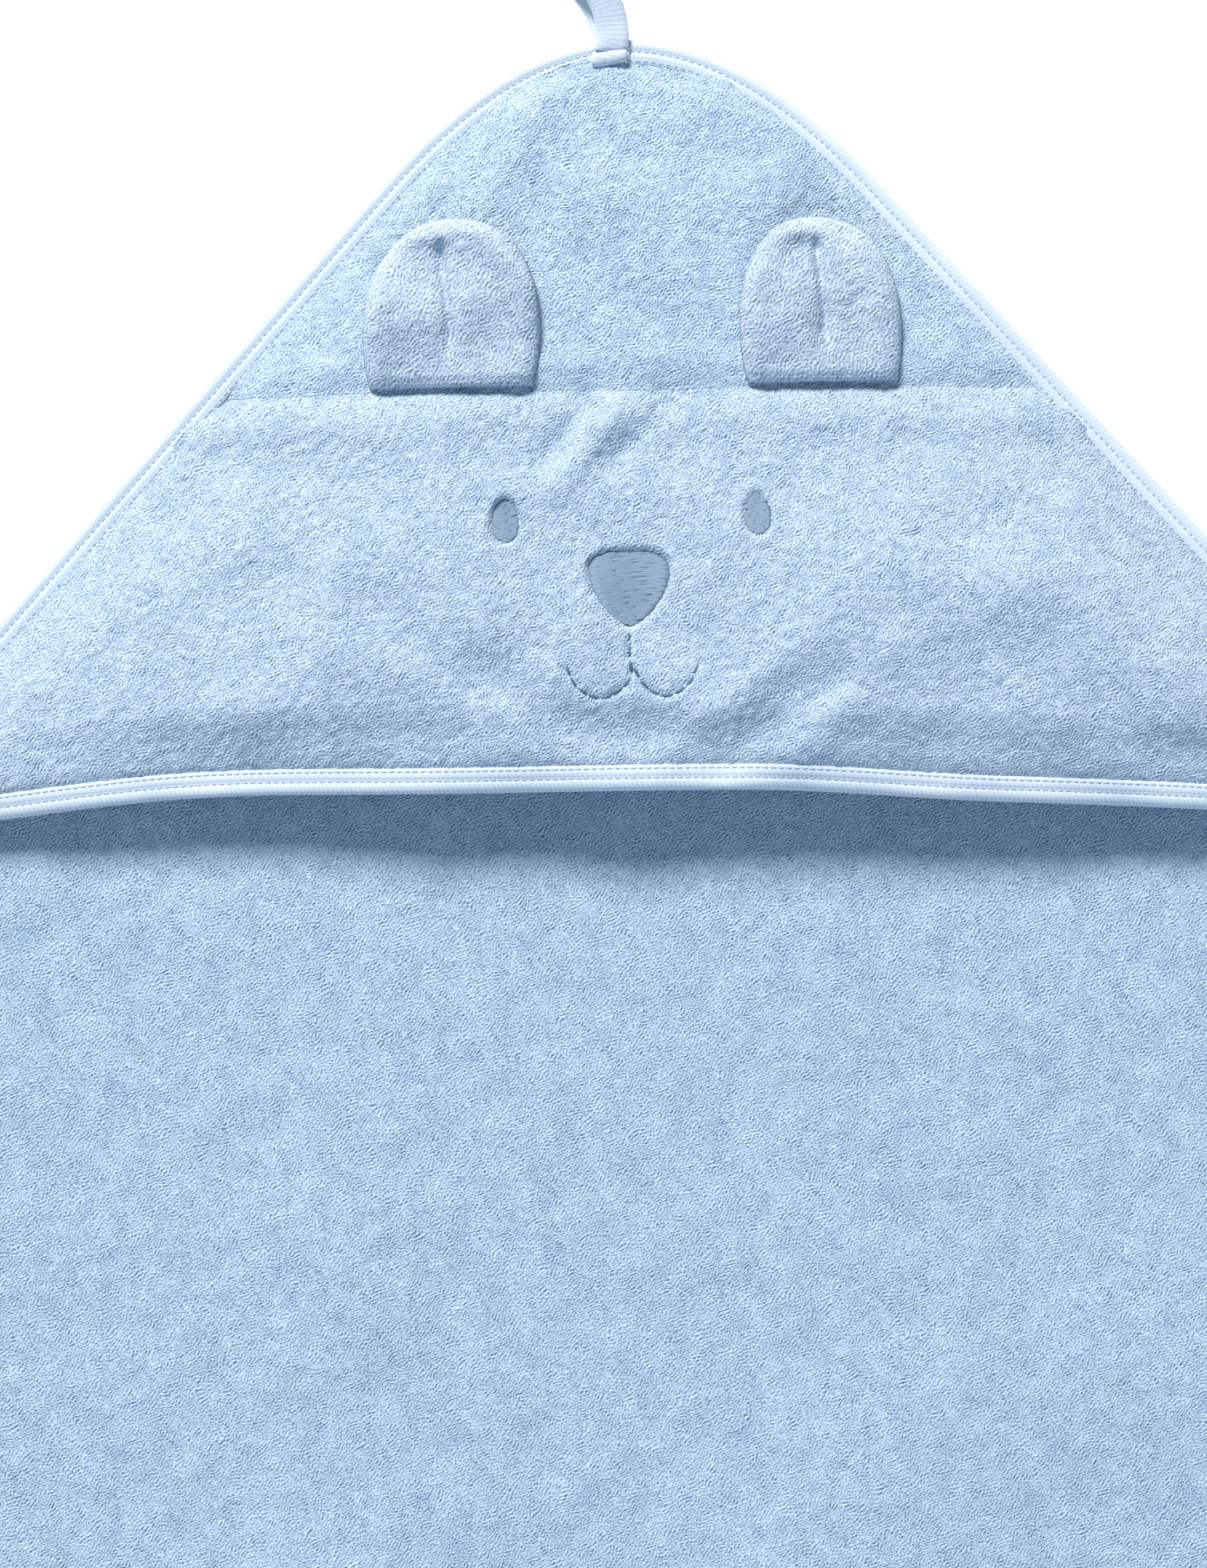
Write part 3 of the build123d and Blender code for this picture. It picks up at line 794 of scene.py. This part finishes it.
def make_face_half(name, side):
    rows = round((brim_depth - seam_depth) / PANEL_STEP)
    x, depth = panel_place(rows, side * held_steps(PANEL_COLUMNS),
                           lambda x: seam_line(x) + SEAM_GAP, lambda x: brim_line(x) - SHEET_EDGE)
    y = apex_y - depth
    inside = distance_inside(x, y)
    upper = np.dstack([x, y, hood_top(x, depth, inside)])
    under = np.dstack([x, y, hood_base(x, depth)])
    piece = make_cloth(name, upper, under, face_terry, flip=side < 0)
    sew_to_side(piece)
    return piece


def make_upper_panel():
    first = tip_depth + SHEET_EDGE + 0.3 * MM
    rows = round((seam_depth - first) / PANEL_STEP)
    x, depth = panel_place(rows, np.linspace(-1, 1, PANEL_COLUMNS),
                           lambda x: first, lambda x: seam_line(x) - SEAM_GAP)
    y = apex_y - depth
    upper = np.dstack([x, y, hood_top(x, depth, distance_inside(x, y))])
    under = np.dstack([x, y, hood_base(x, depth)])
    piece = make_cloth("hood_upper_panel_terry", upper, under, towel_terry)
    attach(piece, "towel")
    return piece


SIDES = {"left": -1, "right": 1}
face_halves = [make_face_half(f"hood_face_{name}_half", side) for name, side in SIDES.items()]
upper_panel = make_upper_panel()
for half in face_halves:
    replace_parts(half, "hood_face_panel")
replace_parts(upper_panel, "hood_upper_panel")
for piece in [*face_halves, upper_panel]:
    print(piece.name, len(piece.data.polygons), "faces")

# %% [markdown]
# ## Rib binding
# A strip of rib knit is folded over the raw edge and sewn down with a twin needle. Across its width
# there are three bands: the rolled fold, the flat strip between the two rows of stitches, and a
# narrow lip. So one cross-section, swept along the edge, gives it all. The ribs are real relief:
# the section swells and shrinks every 1.55 mm, four steps to a rib, and lies slanted between the two
# rows of stitches, where the feeding machine drags the knit.

# %% Binding section
# inset from the outer edge, share of the thickness, extra height, rib relief and rib slant, in mm
SECTION = [
    (0.00, 0.50, 0.00, 0.03, 0.0), (0.25, 0.82, 0.00, 0.035, 0.0), (1.10, 1.00, -0.10, 0.045, 0.0),
    (2.60, 1.00, 0.04, 0.04, 0.5), (3.70, 1.00, -0.10, 0.03, 0.9), (4.30, 1.00, -0.50, 0.02, 1.0),
    (5.05, 1.00, -0.08, 0.035, 1.2), (6.75, 1.00, -0.08, 0.035, 1.9), (7.50, 1.00, -0.47, 0.02, 2.2),
    (8.15, 1.00, -0.30, 0.03, 2.2), (8.80, 1.00, -1.15, 0.02, 2.2), (8.60, 0.00, 0.20, 0.00, 0.0),
    (0.60, 0.00, 0.00, 0.00, 0.0),
]
section = np.array(SECTION)
section_inset, section_share = section[:, 0] * MM, section[:, 1]
section_extra, section_rib, section_slant = section[:, 2] * MM, section[:, 3] * MM, section[:, 4] * MM


def make_binding(name, path, inward, thickness, base_height, ribs=1.0, lean=1, closed=False):
    """The folded tape along a path seen from above; ribs scales their relief, lean turns their slant."""
    count, ring = len(path), len(section)
    step = np.linalg.norm(path[1] - path[0])
    along = np.arange(count) * step
    inset = np.repeat(section_inset[None, :], count, axis=0)
    height = section_share[None, :] * thickness[:, None] + section_extra[None, :]
    slope_in, slope_up = (np.roll(v, -1, axis=1) - np.roll(v, 1, axis=1) for v in (inset, height))
    size = np.hypot(slope_in, slope_up)
    phase = 2 * math.pi * (along[:, None] + lean * section_slant[None, :]) / rib_pitch
    swell = ribs * section_rib[None, :] * np.cos(phase)
    inset = inset - swell * slope_up / size
    height = height + swell * slope_in / size
    flat = path[:, None, :] + inward[:, None, :] * inset[:, :, None]
    z = base_height(flat[..., 0], flat[..., 1]) + height
    points = np.concatenate([flat, z[..., None]], axis=2).reshape(-1, 3)
    steps_around = np.hypot(np.diff(section_inset), np.diff(section_share) * BINDING_T)
    around = np.concatenate([[0], np.cumsum(steps_around)])
    uv = np.dstack([along[:, None] + lean * section_slant[None, :],
                    np.repeat(around[None, :], count, axis=0)])
    faces = grid_faces(count, ring, wrap=True)
    if closed:
        last = np.arange(ring) + (count - 1) * ring
        first = np.arange(ring)
        faces += np.column_stack([last, np.roll(last, -1), np.roll(first, -1), first]).tolist()
    else:
        faces += [list(range(ring))[::-1], [(count - 1) * ring + k for k in range(ring)]]
    return make_piece(name, points, faces, rib_knit, flat=uv.reshape(-1, 2))


def edge_thickness(y):
    """The binding is thicker where it holds both the towel and the hood."""
    beside_hood = 1 - smoothstep(brim_end_depth - 4 * MM, brim_end_depth + 18 * MM, apex_y - y)
    return BINDING_T + (BINDING_HOOD_T - BINDING_T) * beside_hood


rib_pitch = outline_length / round(outline_length / RIB)
edge_path, _ = outline_points(rib_pitch / 4)
edge_inward = inward_normals(edge_path)
edge_tape = make_binding("edge_binding_tape", edge_path, edge_inward, edge_thickness(edge_path[:, 1]),
                         lift_off_floor, closed=True)
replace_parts(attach(edge_tape, "towel"), "edge_binding")
print(f"binding: {rib_pitch / MM:.3f} mm ribs, {len(edge_tape.data.polygons)} faces")

# %% Brim binding
BRIM_END_T = 2.6 * MM       # the brim's tape is squeezed flat where the edge binding takes it in
BRIM_DROP = 0.6 * MM        # it wraps under the terry by this much
brim_paths = {}


def brim_low(x, y):
    """Height of the underside of the brim's tape."""
    return hood_base(x, apex_y - y) - BRIM_DROP


for name, side in SIDES.items():
    x = np.linspace(0, side * (edge_x(brim_end_depth, side) - 2 * MM), 600)
    depth = brim_line(x)
    line, _ = walk_evenly(np.column_stack([x, apex_y - depth]), rib_pitch / 4)
    run = np.gradient(line, axis=0)
    run /= np.linalg.norm(run, axis=1)[:, None]
    inward = np.column_stack([-side * run[:, 1], side * run[:, 0]])
    squeezed = smoothstep(0, 14 * MM, distance_inside(line[:, 0], line[:, 1]) - 5 * MM)
    thickness = BRIM_END_T + (BINDING_T - BRIM_END_T) * squeezed
    brim_paths[name] = (line, inward)
    tape = make_binding(f"brim_binding_{name}_tape", line, inward, thickness, brim_low,
                        ribs=2.2, lean=1.3 * side)
    if side > 0:
        tape.data.flip_normals()
    sew_to_side(tape)
    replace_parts(tape, "brim_binding")
    print(tape.name, len(tape.data.polygons), "faces")

# %% [markdown]
# ## Stitches
# Each stitch is a short length of thread that dives into the cloth at both ends. One function
# sweeps a six-sided section along any number of such short lines at once. It also makes the
# embroidery, where the lines lie side by side.

# %% Threads
def make_threads(name, runs, width, height, material):
    """runs: many short lines, each with the same number of points, as threads x points x 3."""
    runs = np.asarray(runs)
    count, steps, _ = runs.shape
    along = np.gradient(runs, axis=1)
    side = np.cross(along, (0, 0, 1))
    side /= np.linalg.norm(side, axis=2)[..., None]
    up = np.cross(side, along)
    up /= np.linalg.norm(up, axis=2)[..., None]
    taper = np.ones(steps)
    taper[[0, -1]] = 0.55
    turn = np.arange(6) * math.pi / 3
    across = side[:, :, None, :] * (np.cos(turn) * width / 2)[None, None, :, None]
    across = across + up[:, :, None, :] * (np.sin(turn) * height / 2)[None, None, :, None]
    points = runs[:, :, None, :] + across * taper[None, :, None, None]
    length = np.cumsum(np.linalg.norm(np.diff(runs, axis=1, prepend=runs[:, :1]), axis=2), axis=1)
    length = length + np.arange(count)[:, None] * 7 * MM
    uv = np.stack([np.repeat(length[:, :, None], 6, axis=2),
                   np.broadcast_to(turn * width / 2, (count, steps, 6))], axis=-1)
    one = grid_faces(steps, 6, flip=True, wrap=True)
    faces = []
    for i in range(count):
        first = i * steps * 6
        faces += [[first + corner for corner in face] for face in one]
        faces += [[first + k for k in range(6)], [first + (steps - 1) * 6 + k for k in range(5, -1, -1)]]
    return make_piece(name, points.reshape(-1, 3), faces, material, flat=uv.reshape(-1, 2))


# %% Topstitching
STITCH_PITCH = 2.6 * MM
STITCH_LENGTH = 2.15 * MM
STITCH_W = 0.55 * MM
STITCH_T = 0.45 * MM
GROOVE = 0.3 * MM           # the middle of a thread lies this far below the tape's top
ROWS = {"outer": 4.3 * MM, "inner": 7.5 * MM}
HIDDEN_STEPS = 14           # of the brim's line, at its end under the edge binding


def stitches_along(line, height, sink=0.32 * MM):
    """Short lines for make_threads, one stitch every pitch along a line seen from above."""
    spots, length = walk_evenly(line, STITCH_PITCH / 8)
    count = int(length / STITCH_PITCH)
    local = np.linspace(-0.5, 0.5, 5)
    middle = (np.arange(count) + 0.5) * STITCH_PITCH
    place = middle[:, None] + local[None, :] * STITCH_LENGTH
    grid = np.linspace(0, length, len(spots))
    x, y = (np.interp(place, grid, spots[:, i]) for i in (0, 1))
    z = height(x, y) - sink * (2 * np.abs(local)[None, :]) ** 2.5
    return np.dstack([x, y, z])


def edge_top(x, y):
    """Height of the thread in the binding's stitch grooves."""
    return lift_off_floor(x, y) + edge_thickness(y) - GROOVE


def brim_top(x, y):
    """The same on the brim."""
    return brim_low(x, y) + BINDING_T - GROOVE


for row, inset in ROWS.items():
    line = edge_path + edge_inward * inset
    line = np.vstack([line, line[:1]])
    thread = make_threads(f"edge_topstitch_{row}_thread", stitches_along(line, edge_top),
                          STITCH_W, STITCH_T, topstitch_thread)
    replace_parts(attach(thread, "towel"), f"edge_topstitch_{row}")
    for name, side in SIDES.items():
        path, inward = brim_paths[name]
        line = (path + inward * inset)[:-HIDDEN_STEPS]
        thread = make_threads(f"brim_topstitch_{row}_{name}_thread", stitches_along(line, brim_top),
                              STITCH_W, STITCH_T, topstitch_thread)
        sew_to_side(thread)
        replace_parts(thread, f"brim_topstitch_{row}")

# %% Cross seam
SEAM_HALF = 132 * MM
seam_y = apex_y - seam_depth + 2.5 * MM
seam_run = np.array([(-SEAM_HALF, seam_y), (SEAM_HALF, seam_y)])
seam_stitches = stitches_along(seam_run, lambda x, y: hood_base(x, apex_y - y))
seam_thread = make_threads("hood_seam_lockstitch", seam_stitches, STITCH_W, 0.5 * MM, topstitch_thread)
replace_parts(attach(seam_thread, "towel"), "hood_seam_thread")

# %% [markdown]
# ## Embroidery
# Eyes and nose are filled with rows of rayon thread that run from side to side. Machine fill breaks
# a long row into shorter stitches, and shifts the break from row to row so that no line shows. The
# mouth is a running stitch of doubled thread; its darker colour is painted shade, for lying deep between the
# pile.

# %% Eyes and nose
FILL_PITCH = 0.46 * MM
FILL_W = 0.8 * MM
FILL_T = 0.3 * MM


def fill_shape(shape, height):
    """Side-to-side threads, each row broken once, that fill a closed line drawn as x and depth."""
    lowest, highest = shape[:, 1].min(), shape[:, 1].max()
    rows = int((highest - lowest) / FILL_PITCH)
    local = np.linspace(0, 1, 7)
    runs = []
    for i in range(rows):
        depth = lowest + (i + 0.5) * (highest - lowest) / rows
        following = np.roll(shape, -1, axis=0)
        hit = (shape[:, 1] > depth) != (following[:, 1] > depth)
        share = (depth - shape[hit, 1]) / (following[hit, 1] - shape[hit, 1])
        ends = np.sort(shape[hit, 0] + share * (following[hit, 0] - shape[hit, 0]))
        ends = ends[[0, -1]] + random_numbers.uniform(-0.3, 0.3, 2) * MM
        width = ends[1] - ends[0]
        row_break = random_numbers.uniform(0.1, 0.9)
        for a, b in ((0, row_break), (row_break, 1)):
            if (b - a) * width > 1.0 * MM:
                x = ends[0] + width * (a + (b - a) * local)
                wave = 0.07 * MM * np.sin(local * 5 + random_numbers.uniform(0, 6))
                d = np.full(7, depth) + wave
                sink = 0.03 * MM * (2 * np.abs(local - 0.5)) ** 4
                runs.append(np.column_stack([x, apex_y - d, height(x, d) - sink]))
    return np.array(runs)


for node, (shape, pressed) in filled_shapes.items():
    lines = fill_shape(shape, lambda x, depth: hood_base(x, depth) + HOOD_T - pressed)
    fill = make_threads(node.replace("embroidery", "fill_stitch"), lines, FILL_W, FILL_T, rayon_thread)
    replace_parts(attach(fill, "hood_face"), node)

# %% Mouth
DASH_PITCH = 4.6 * MM
DASH_LENGTH = 4.0 * MM
DASH_W = 1.15 * MM
DASH_T = 0.8 * MM


def running_stitch(line):
    """Short lines for make_threads, one dash every pitch along a line drawn as x and depth."""
    spots, length = walk_evenly(line, 0.25 * MM)
    count = max(2, round(length / DASH_PITCH))
    local = np.linspace(-0.5, 0.5, 7)
    place = ((np.arange(count) + 0.5) * length / count)[:, None] + local[None, :] * DASH_LENGTH
    grid = np.linspace(0, length, len(spots))
    x, depth = (np.interp(place, grid, spots[:, i]) for i in (0, 1))
    z = hood_base(x, depth) + HOOD_T - 0.62 * MM - 0.45 * MM * (2 * np.abs(local)[None, :]) ** 3
    return np.dstack([x, apex_y - depth, z])


for node, line in mouth_lines.items():
    mouth = make_threads(node.replace("stitches", "running_stitch"), running_stitch(line),
                         DASH_W, DASH_T, mouth_thread)
    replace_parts(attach(mouth, "hood_face"), node)

# %% [markdown]
# ## Ears
# Each ear is a small flat bag: a front of long-pile terry on a back of towel terry, sewn round the
# curve, turned right side out and pinched down its middle. So its rim is a puffy roll, the middle
# is dished, and a crease runs down from near the top. It lies on the hood and follows its slope.

# %% Ears
EAR_GAP = 0.5 * MM
EAR_BACK_T = 2.1 * MM
EAR_FULL = 5.4 * MM         # height of the stuffed roll round the front
EAR_RINGS, EAR_AROUND = 40, 200
EARS = {"left": dict(x=-60.4 * MM, half=29.6 * MM, height=56.6 * MM, lean=1.6 * MM, crease=-1.2 * MM),
        "right": dict(x=64.2 * MM, half=27.1 * MM, height=56.0 * MM, lean=-0.8 * MM, crease=0.4 * MM)}
EAR_CURVE = [(0.93, 0.0), (0.99, 0.18), (1.0, 0.4), (0.93, 0.62), (0.74, 0.82), (0.42, 0.955), (0.0, 1.0)]


def ear_outline(ear, inset=0.0):
    """From the base's right end round the top to its left end, in the ear's own flat drawing."""
    half, height = ear["half"] - inset, ear["height"] - inset
    right = [(half * a + ear["lean"] * b, height * b) for a, b in EAR_CURVE]
    left = [(-half * a + ear["lean"] * b, height * b) for a, b in EAR_CURVE[-2::-1]]
    return smooth_line(right + left, steps=8)


def ear_rings(line, rings, around):
    """Points on smaller and smaller copies of the ear's outline, round a middle point."""
    base = np.linspace(line[-1], line[0], 24)[1:-1]
    line = np.vstack([line, base])
    closed_line = np.vstack([line, line[:1]])
    steps = np.linalg.norm(np.diff(closed_line, axis=0), axis=1)
    lengths = np.concatenate([[0], np.cumsum(steps)])
    even = np.linspace(0, lengths[-1], around, endpoint=False)
    rim = np.column_stack([np.interp(even, lengths, closed_line[:, i]) for i in (0, 1)])
    middle = np.array([0.0, line[:, 1].max() * 0.45])
    scale = np.linspace(1, 0.012, rings)[:, None, None]
    return middle + (rim[None] - middle) * scale


def make_ear_layer(name, ear, inset, low, high, material):
    """A closed layer of an ear, between two height functions above the hood."""
    line = ear_outline(ear, inset)
    rings, around = EAR_RINGS, EAR_AROUND
    flat = ear_rings(line, rings, around)
    u, v = flat[..., 0], flat[..., 1]
    from_rim = distance_to_line(u, v, line[::3])
    x, y = ear["x"] + u, apex_y - seam_depth + 0.4 * MM + v
    ground = hood_base(x, apex_y - y) + HOOD_T + 0.3 * MM * sample(softness, x, y)
    flattened = 0.45 + 0.55 * smoothstep(-4 * MM, 30 * MM, v)
    sewn = 1.3 * MM * (1 - smoothstep(0, 4 * MM, v))
    bottom = ground + low(u, v, from_rim) * flattened - sewn - 0.3 * MM
    top = ground + high(u, v, from_rim, x, y) * flattened - sewn
    top[0] = bottom[0] = (top[0] + bottom[0]) / 2
    count = rings * around
    upper = np.dstack([x, y, top]).reshape(-1, 3)
    under = np.dstack([x, y, bottom]).reshape(-1, 3)[around:]
    faces = grid_faces(rings, around, wrap=True)
    below = np.concatenate([np.arange(around), np.arange(count, count + (rings - 1) * around)])
    mirrored = np.array(grid_faces(rings, around, flip=True, wrap=True))
    faces += below[mirrored].tolist()
    faces.append(list(range((rings - 1) * around, rings * around)))
    faces.append([int(below[(rings - 1) * around + k]) for k in range(around - 1, -1, -1)])
    points = np.concatenate([upper, under])
    return make_piece(name, points, faces, material, flat=points[:, :2])


def make_ear(label, ear):
    """Back and front of one ear; u and v are places on its drawing, from_rim how far from its edge."""
    def back_low(u, v, from_rim):
        rounded = 1 - np.sqrt(1 - (1 - np.minimum(from_rim / (2 * MM), 1)) ** 2)
        return EAR_GAP + 0.9 * MM * rounded

    def back_high(u, v, from_rim, x, y):
        return EAR_GAP + EAR_BACK_T - 0.5 * MM * (1 - np.minimum(from_rim / (2 * MM), 1)) ** 2

    def front_low(u, v, from_rim):
        return EAR_GAP + EAR_BACK_T

    def front_high(u, v, from_rim, x, y):
        up = v / ear["height"]
        roll = np.sqrt(1 - (1 - np.minimum(from_rim / (6.5 * MM), 1)) ** 2)
        dish = 0.9 * MM * smoothstep(5 * MM, 14 * MM, from_rim)
        down = smoothstep(0.12, 0.3, up) * (1 - smoothstep(0.8, 0.9, up))
        bend = ear["crease"] + 1.3 * MM * np.sin(v / (10 * MM))
        spread = (3.5 + 6 * smoothstep(0.4, 0.75, up)) * MM
        crease = 2.3 * MM * bell(u - bend, 1.7 * MM) + 2.0 * MM * bell(u - bend + 0.5 * spread, spread)
        full = EAR_FULL * roll - dish - crease * down
        pile = 0.12 * MM * sample(clumps, x, y) + 0.14 * MM * sample(softness, 3 * x, 3 * y)
        pile = pile * np.minimum(from_rim / (3 * MM), 1)
        return EAR_GAP + EAR_BACK_T + np.maximum(full, 0.3 * MM) + pile

    layers = {"back": (0.3 * MM, back_low, back_high, towel_terry),
              "front": (0.0, front_low, front_high, ear_terry)}
    for layer, (inset, low, high, material) in layers.items():
        piece = make_ear_layer(f"{label}_ear_{layer}_terry", ear, inset, low, high, material)
        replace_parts(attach(piece, f"{label}_ear"), f"{label}_ear_{layer}")


for label, ear in EARS.items():
    make_ear(label, ear)
    print(f"{label} ear {2 * ear['half'] / MM:.0f} mm wide and {ear['height'] / MM:.0f} mm high")

# %% [markdown]
# ## Hanging loop
# A length of the same rib tape, folded in two. Its ends lie on each other on the binding, held by
# two rows of stitches, and the loop stands out beyond the edge. The two legs do not lie quite
# over each other, as on any hand-fed loop. It is one strip.

# %% Hanging loop
LOOP_W = 11.0 * MM
LOOP_T = 1.15 * MM
LOOP_LEAN = 0.8             # how far the loop leans to the left for each unit that it runs out
LOOP_RIB = 0.035 * MM
hinge = joint_point("loop_flip")
hinge_axis = Vector(next(j["axis"] for j in frame["joints"] if j["name"] == "loop_flip"))
loop_out = Vector((-hinge_axis.y, hinge_axis.x, 0)).normalized()
# how far out from the hinge line, height above the floor, and sideways shift of each point, in mm
LOOP_ROUTE = [
    (-11.4, 7.2, -1.6), (-10.9, 8.9, -1.5), (-9.4, 9.5, -1.3), (-7.9, 9.3, -1.0), (-7.0, 8.5, -0.8),
    (-6.0, 9.2, -0.6), (-3.0, 9.75, 0), (3.0, 10.2, 0), (12, 12.0, 0), (26, 15.4, 0), (40, 18.6, 0),
    (50, 19.6, -0.6), (56.4, 16.4, -1.6), (58, 10.9, -2.4), (56, 5.0, -3.2), (49, 1.6, -3.6),
    (36, 1.7, -3.8), (22, 3.6, -3.6), (11, 5.8, -2.8), (3, 7.3, -1.4), (-2, 7.9, -0.5), (-6, 8.1, 0),
    (-10, 8.1, 0),
]


def loop_plan(out, shift):
    """Where a point of the loop is seen from above; it leaves the towel straight, then leans left."""
    ease = 4 * MM
    lean = LOOP_LEAN * ease * np.log1p(np.exp((out - 9 * MM) / ease))
    return hinge.x - lean + shift, hinge.y + loop_out.y * out


route = smooth_line(np.array(LOOP_ROUTE) * MM, steps=14)
x, y = loop_plan(route[:, 0], route[:, 2])
route, loop_length = walk_evenly(np.column_stack([x, y, route[:, 1]]), rib_pitch / 4)
count = len(route)
tangent = np.gradient(route, axis=0)
tangent /= np.linalg.norm(tangent, axis=1)[:, None]
across = np.tile(np.array(hinge_axis), (count, 1))
across -= tangent * np.sum(across * tangent, axis=1)[:, None]
across /= np.linalg.norm(across, axis=1)[:, None]
normal = np.cross(across, tangent)
LOOP_SECTION = [(-0.5, 0.0), (-0.47, 0.42), (-0.3, 0.5), (0.0, 0.52), (0.3, 0.5), (0.47, 0.42),
                (0.5, 0.0), (0.47, -0.42), (0.3, -0.5), (0.0, -0.52), (-0.3, -0.5), (-0.47, -0.42)]
along = np.arange(count) * rib_pitch / 4
points, uv = [], []
flare = 1 + 0.2 * (1 - smoothstep(0, 7 * MM, along)) - 0.4 * (1 - smoothstep(0, 3 * MM, along)) ** 2
for k, (a, b) in enumerate(LOOP_SECTION):
    slant = 0.9 * MM * a
    facing = np.sign(b) * min(abs(b) * 2, 1)
    rib = LOOP_RIB * np.cos(2 * math.pi * (along + slant) / rib_pitch) * facing
    points.append(route + across * (a * LOOP_W * flare)[:, None] + normal * (b * LOOP_T + rib)[:, None])
    uv.append(np.column_stack([along + slant, np.full(count, k * 2 * MM)]))
points = np.stack(points, axis=1).reshape(-1, 3)
uv = np.stack(uv, axis=1).reshape(-1, 2)
ring = len(LOOP_SECTION)
faces = grid_faces(count, ring, wrap=True)
faces += [list(range(ring))[::-1], [(count - 1) * ring + k for k in range(ring)]]
points[:, 2] = np.maximum(points[:, 2], 0.1 * MM)
loop_tape = make_piece("hanging_loop_tape", points, faces, rib_knit, flat=uv)
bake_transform(loop_tape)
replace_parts(loop_tape, "hanging_loop", "loop_sewn_end")
print(f"loop tape {loop_length / MM:.0f} mm long")

# %% Stitches that hold the loop
BARS = [(-7.0 * MM, 9.2 * MM), (-10.0 * MM, 9.85 * MM)]     # how far out each row is, and its height
rows = []
for out, height in BARS:
    centre = np.array([hinge.x, hinge.y]) + np.array(loop_out)[:2] * out
    span = np.array(hinge_axis)[:2] * (LOOP_W / 2 - 0.4 * MM)
    bar = np.array([centre - span, centre + span])
    rows.append(stitches_along(bar, lambda x, y: np.full_like(x, height)))
loop_thread = make_threads("loop_bar_stitches", np.concatenate(rows), STITCH_W, STITCH_T, topstitch_thread)
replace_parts(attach(loop_thread, "towel"), "loop_stitching")
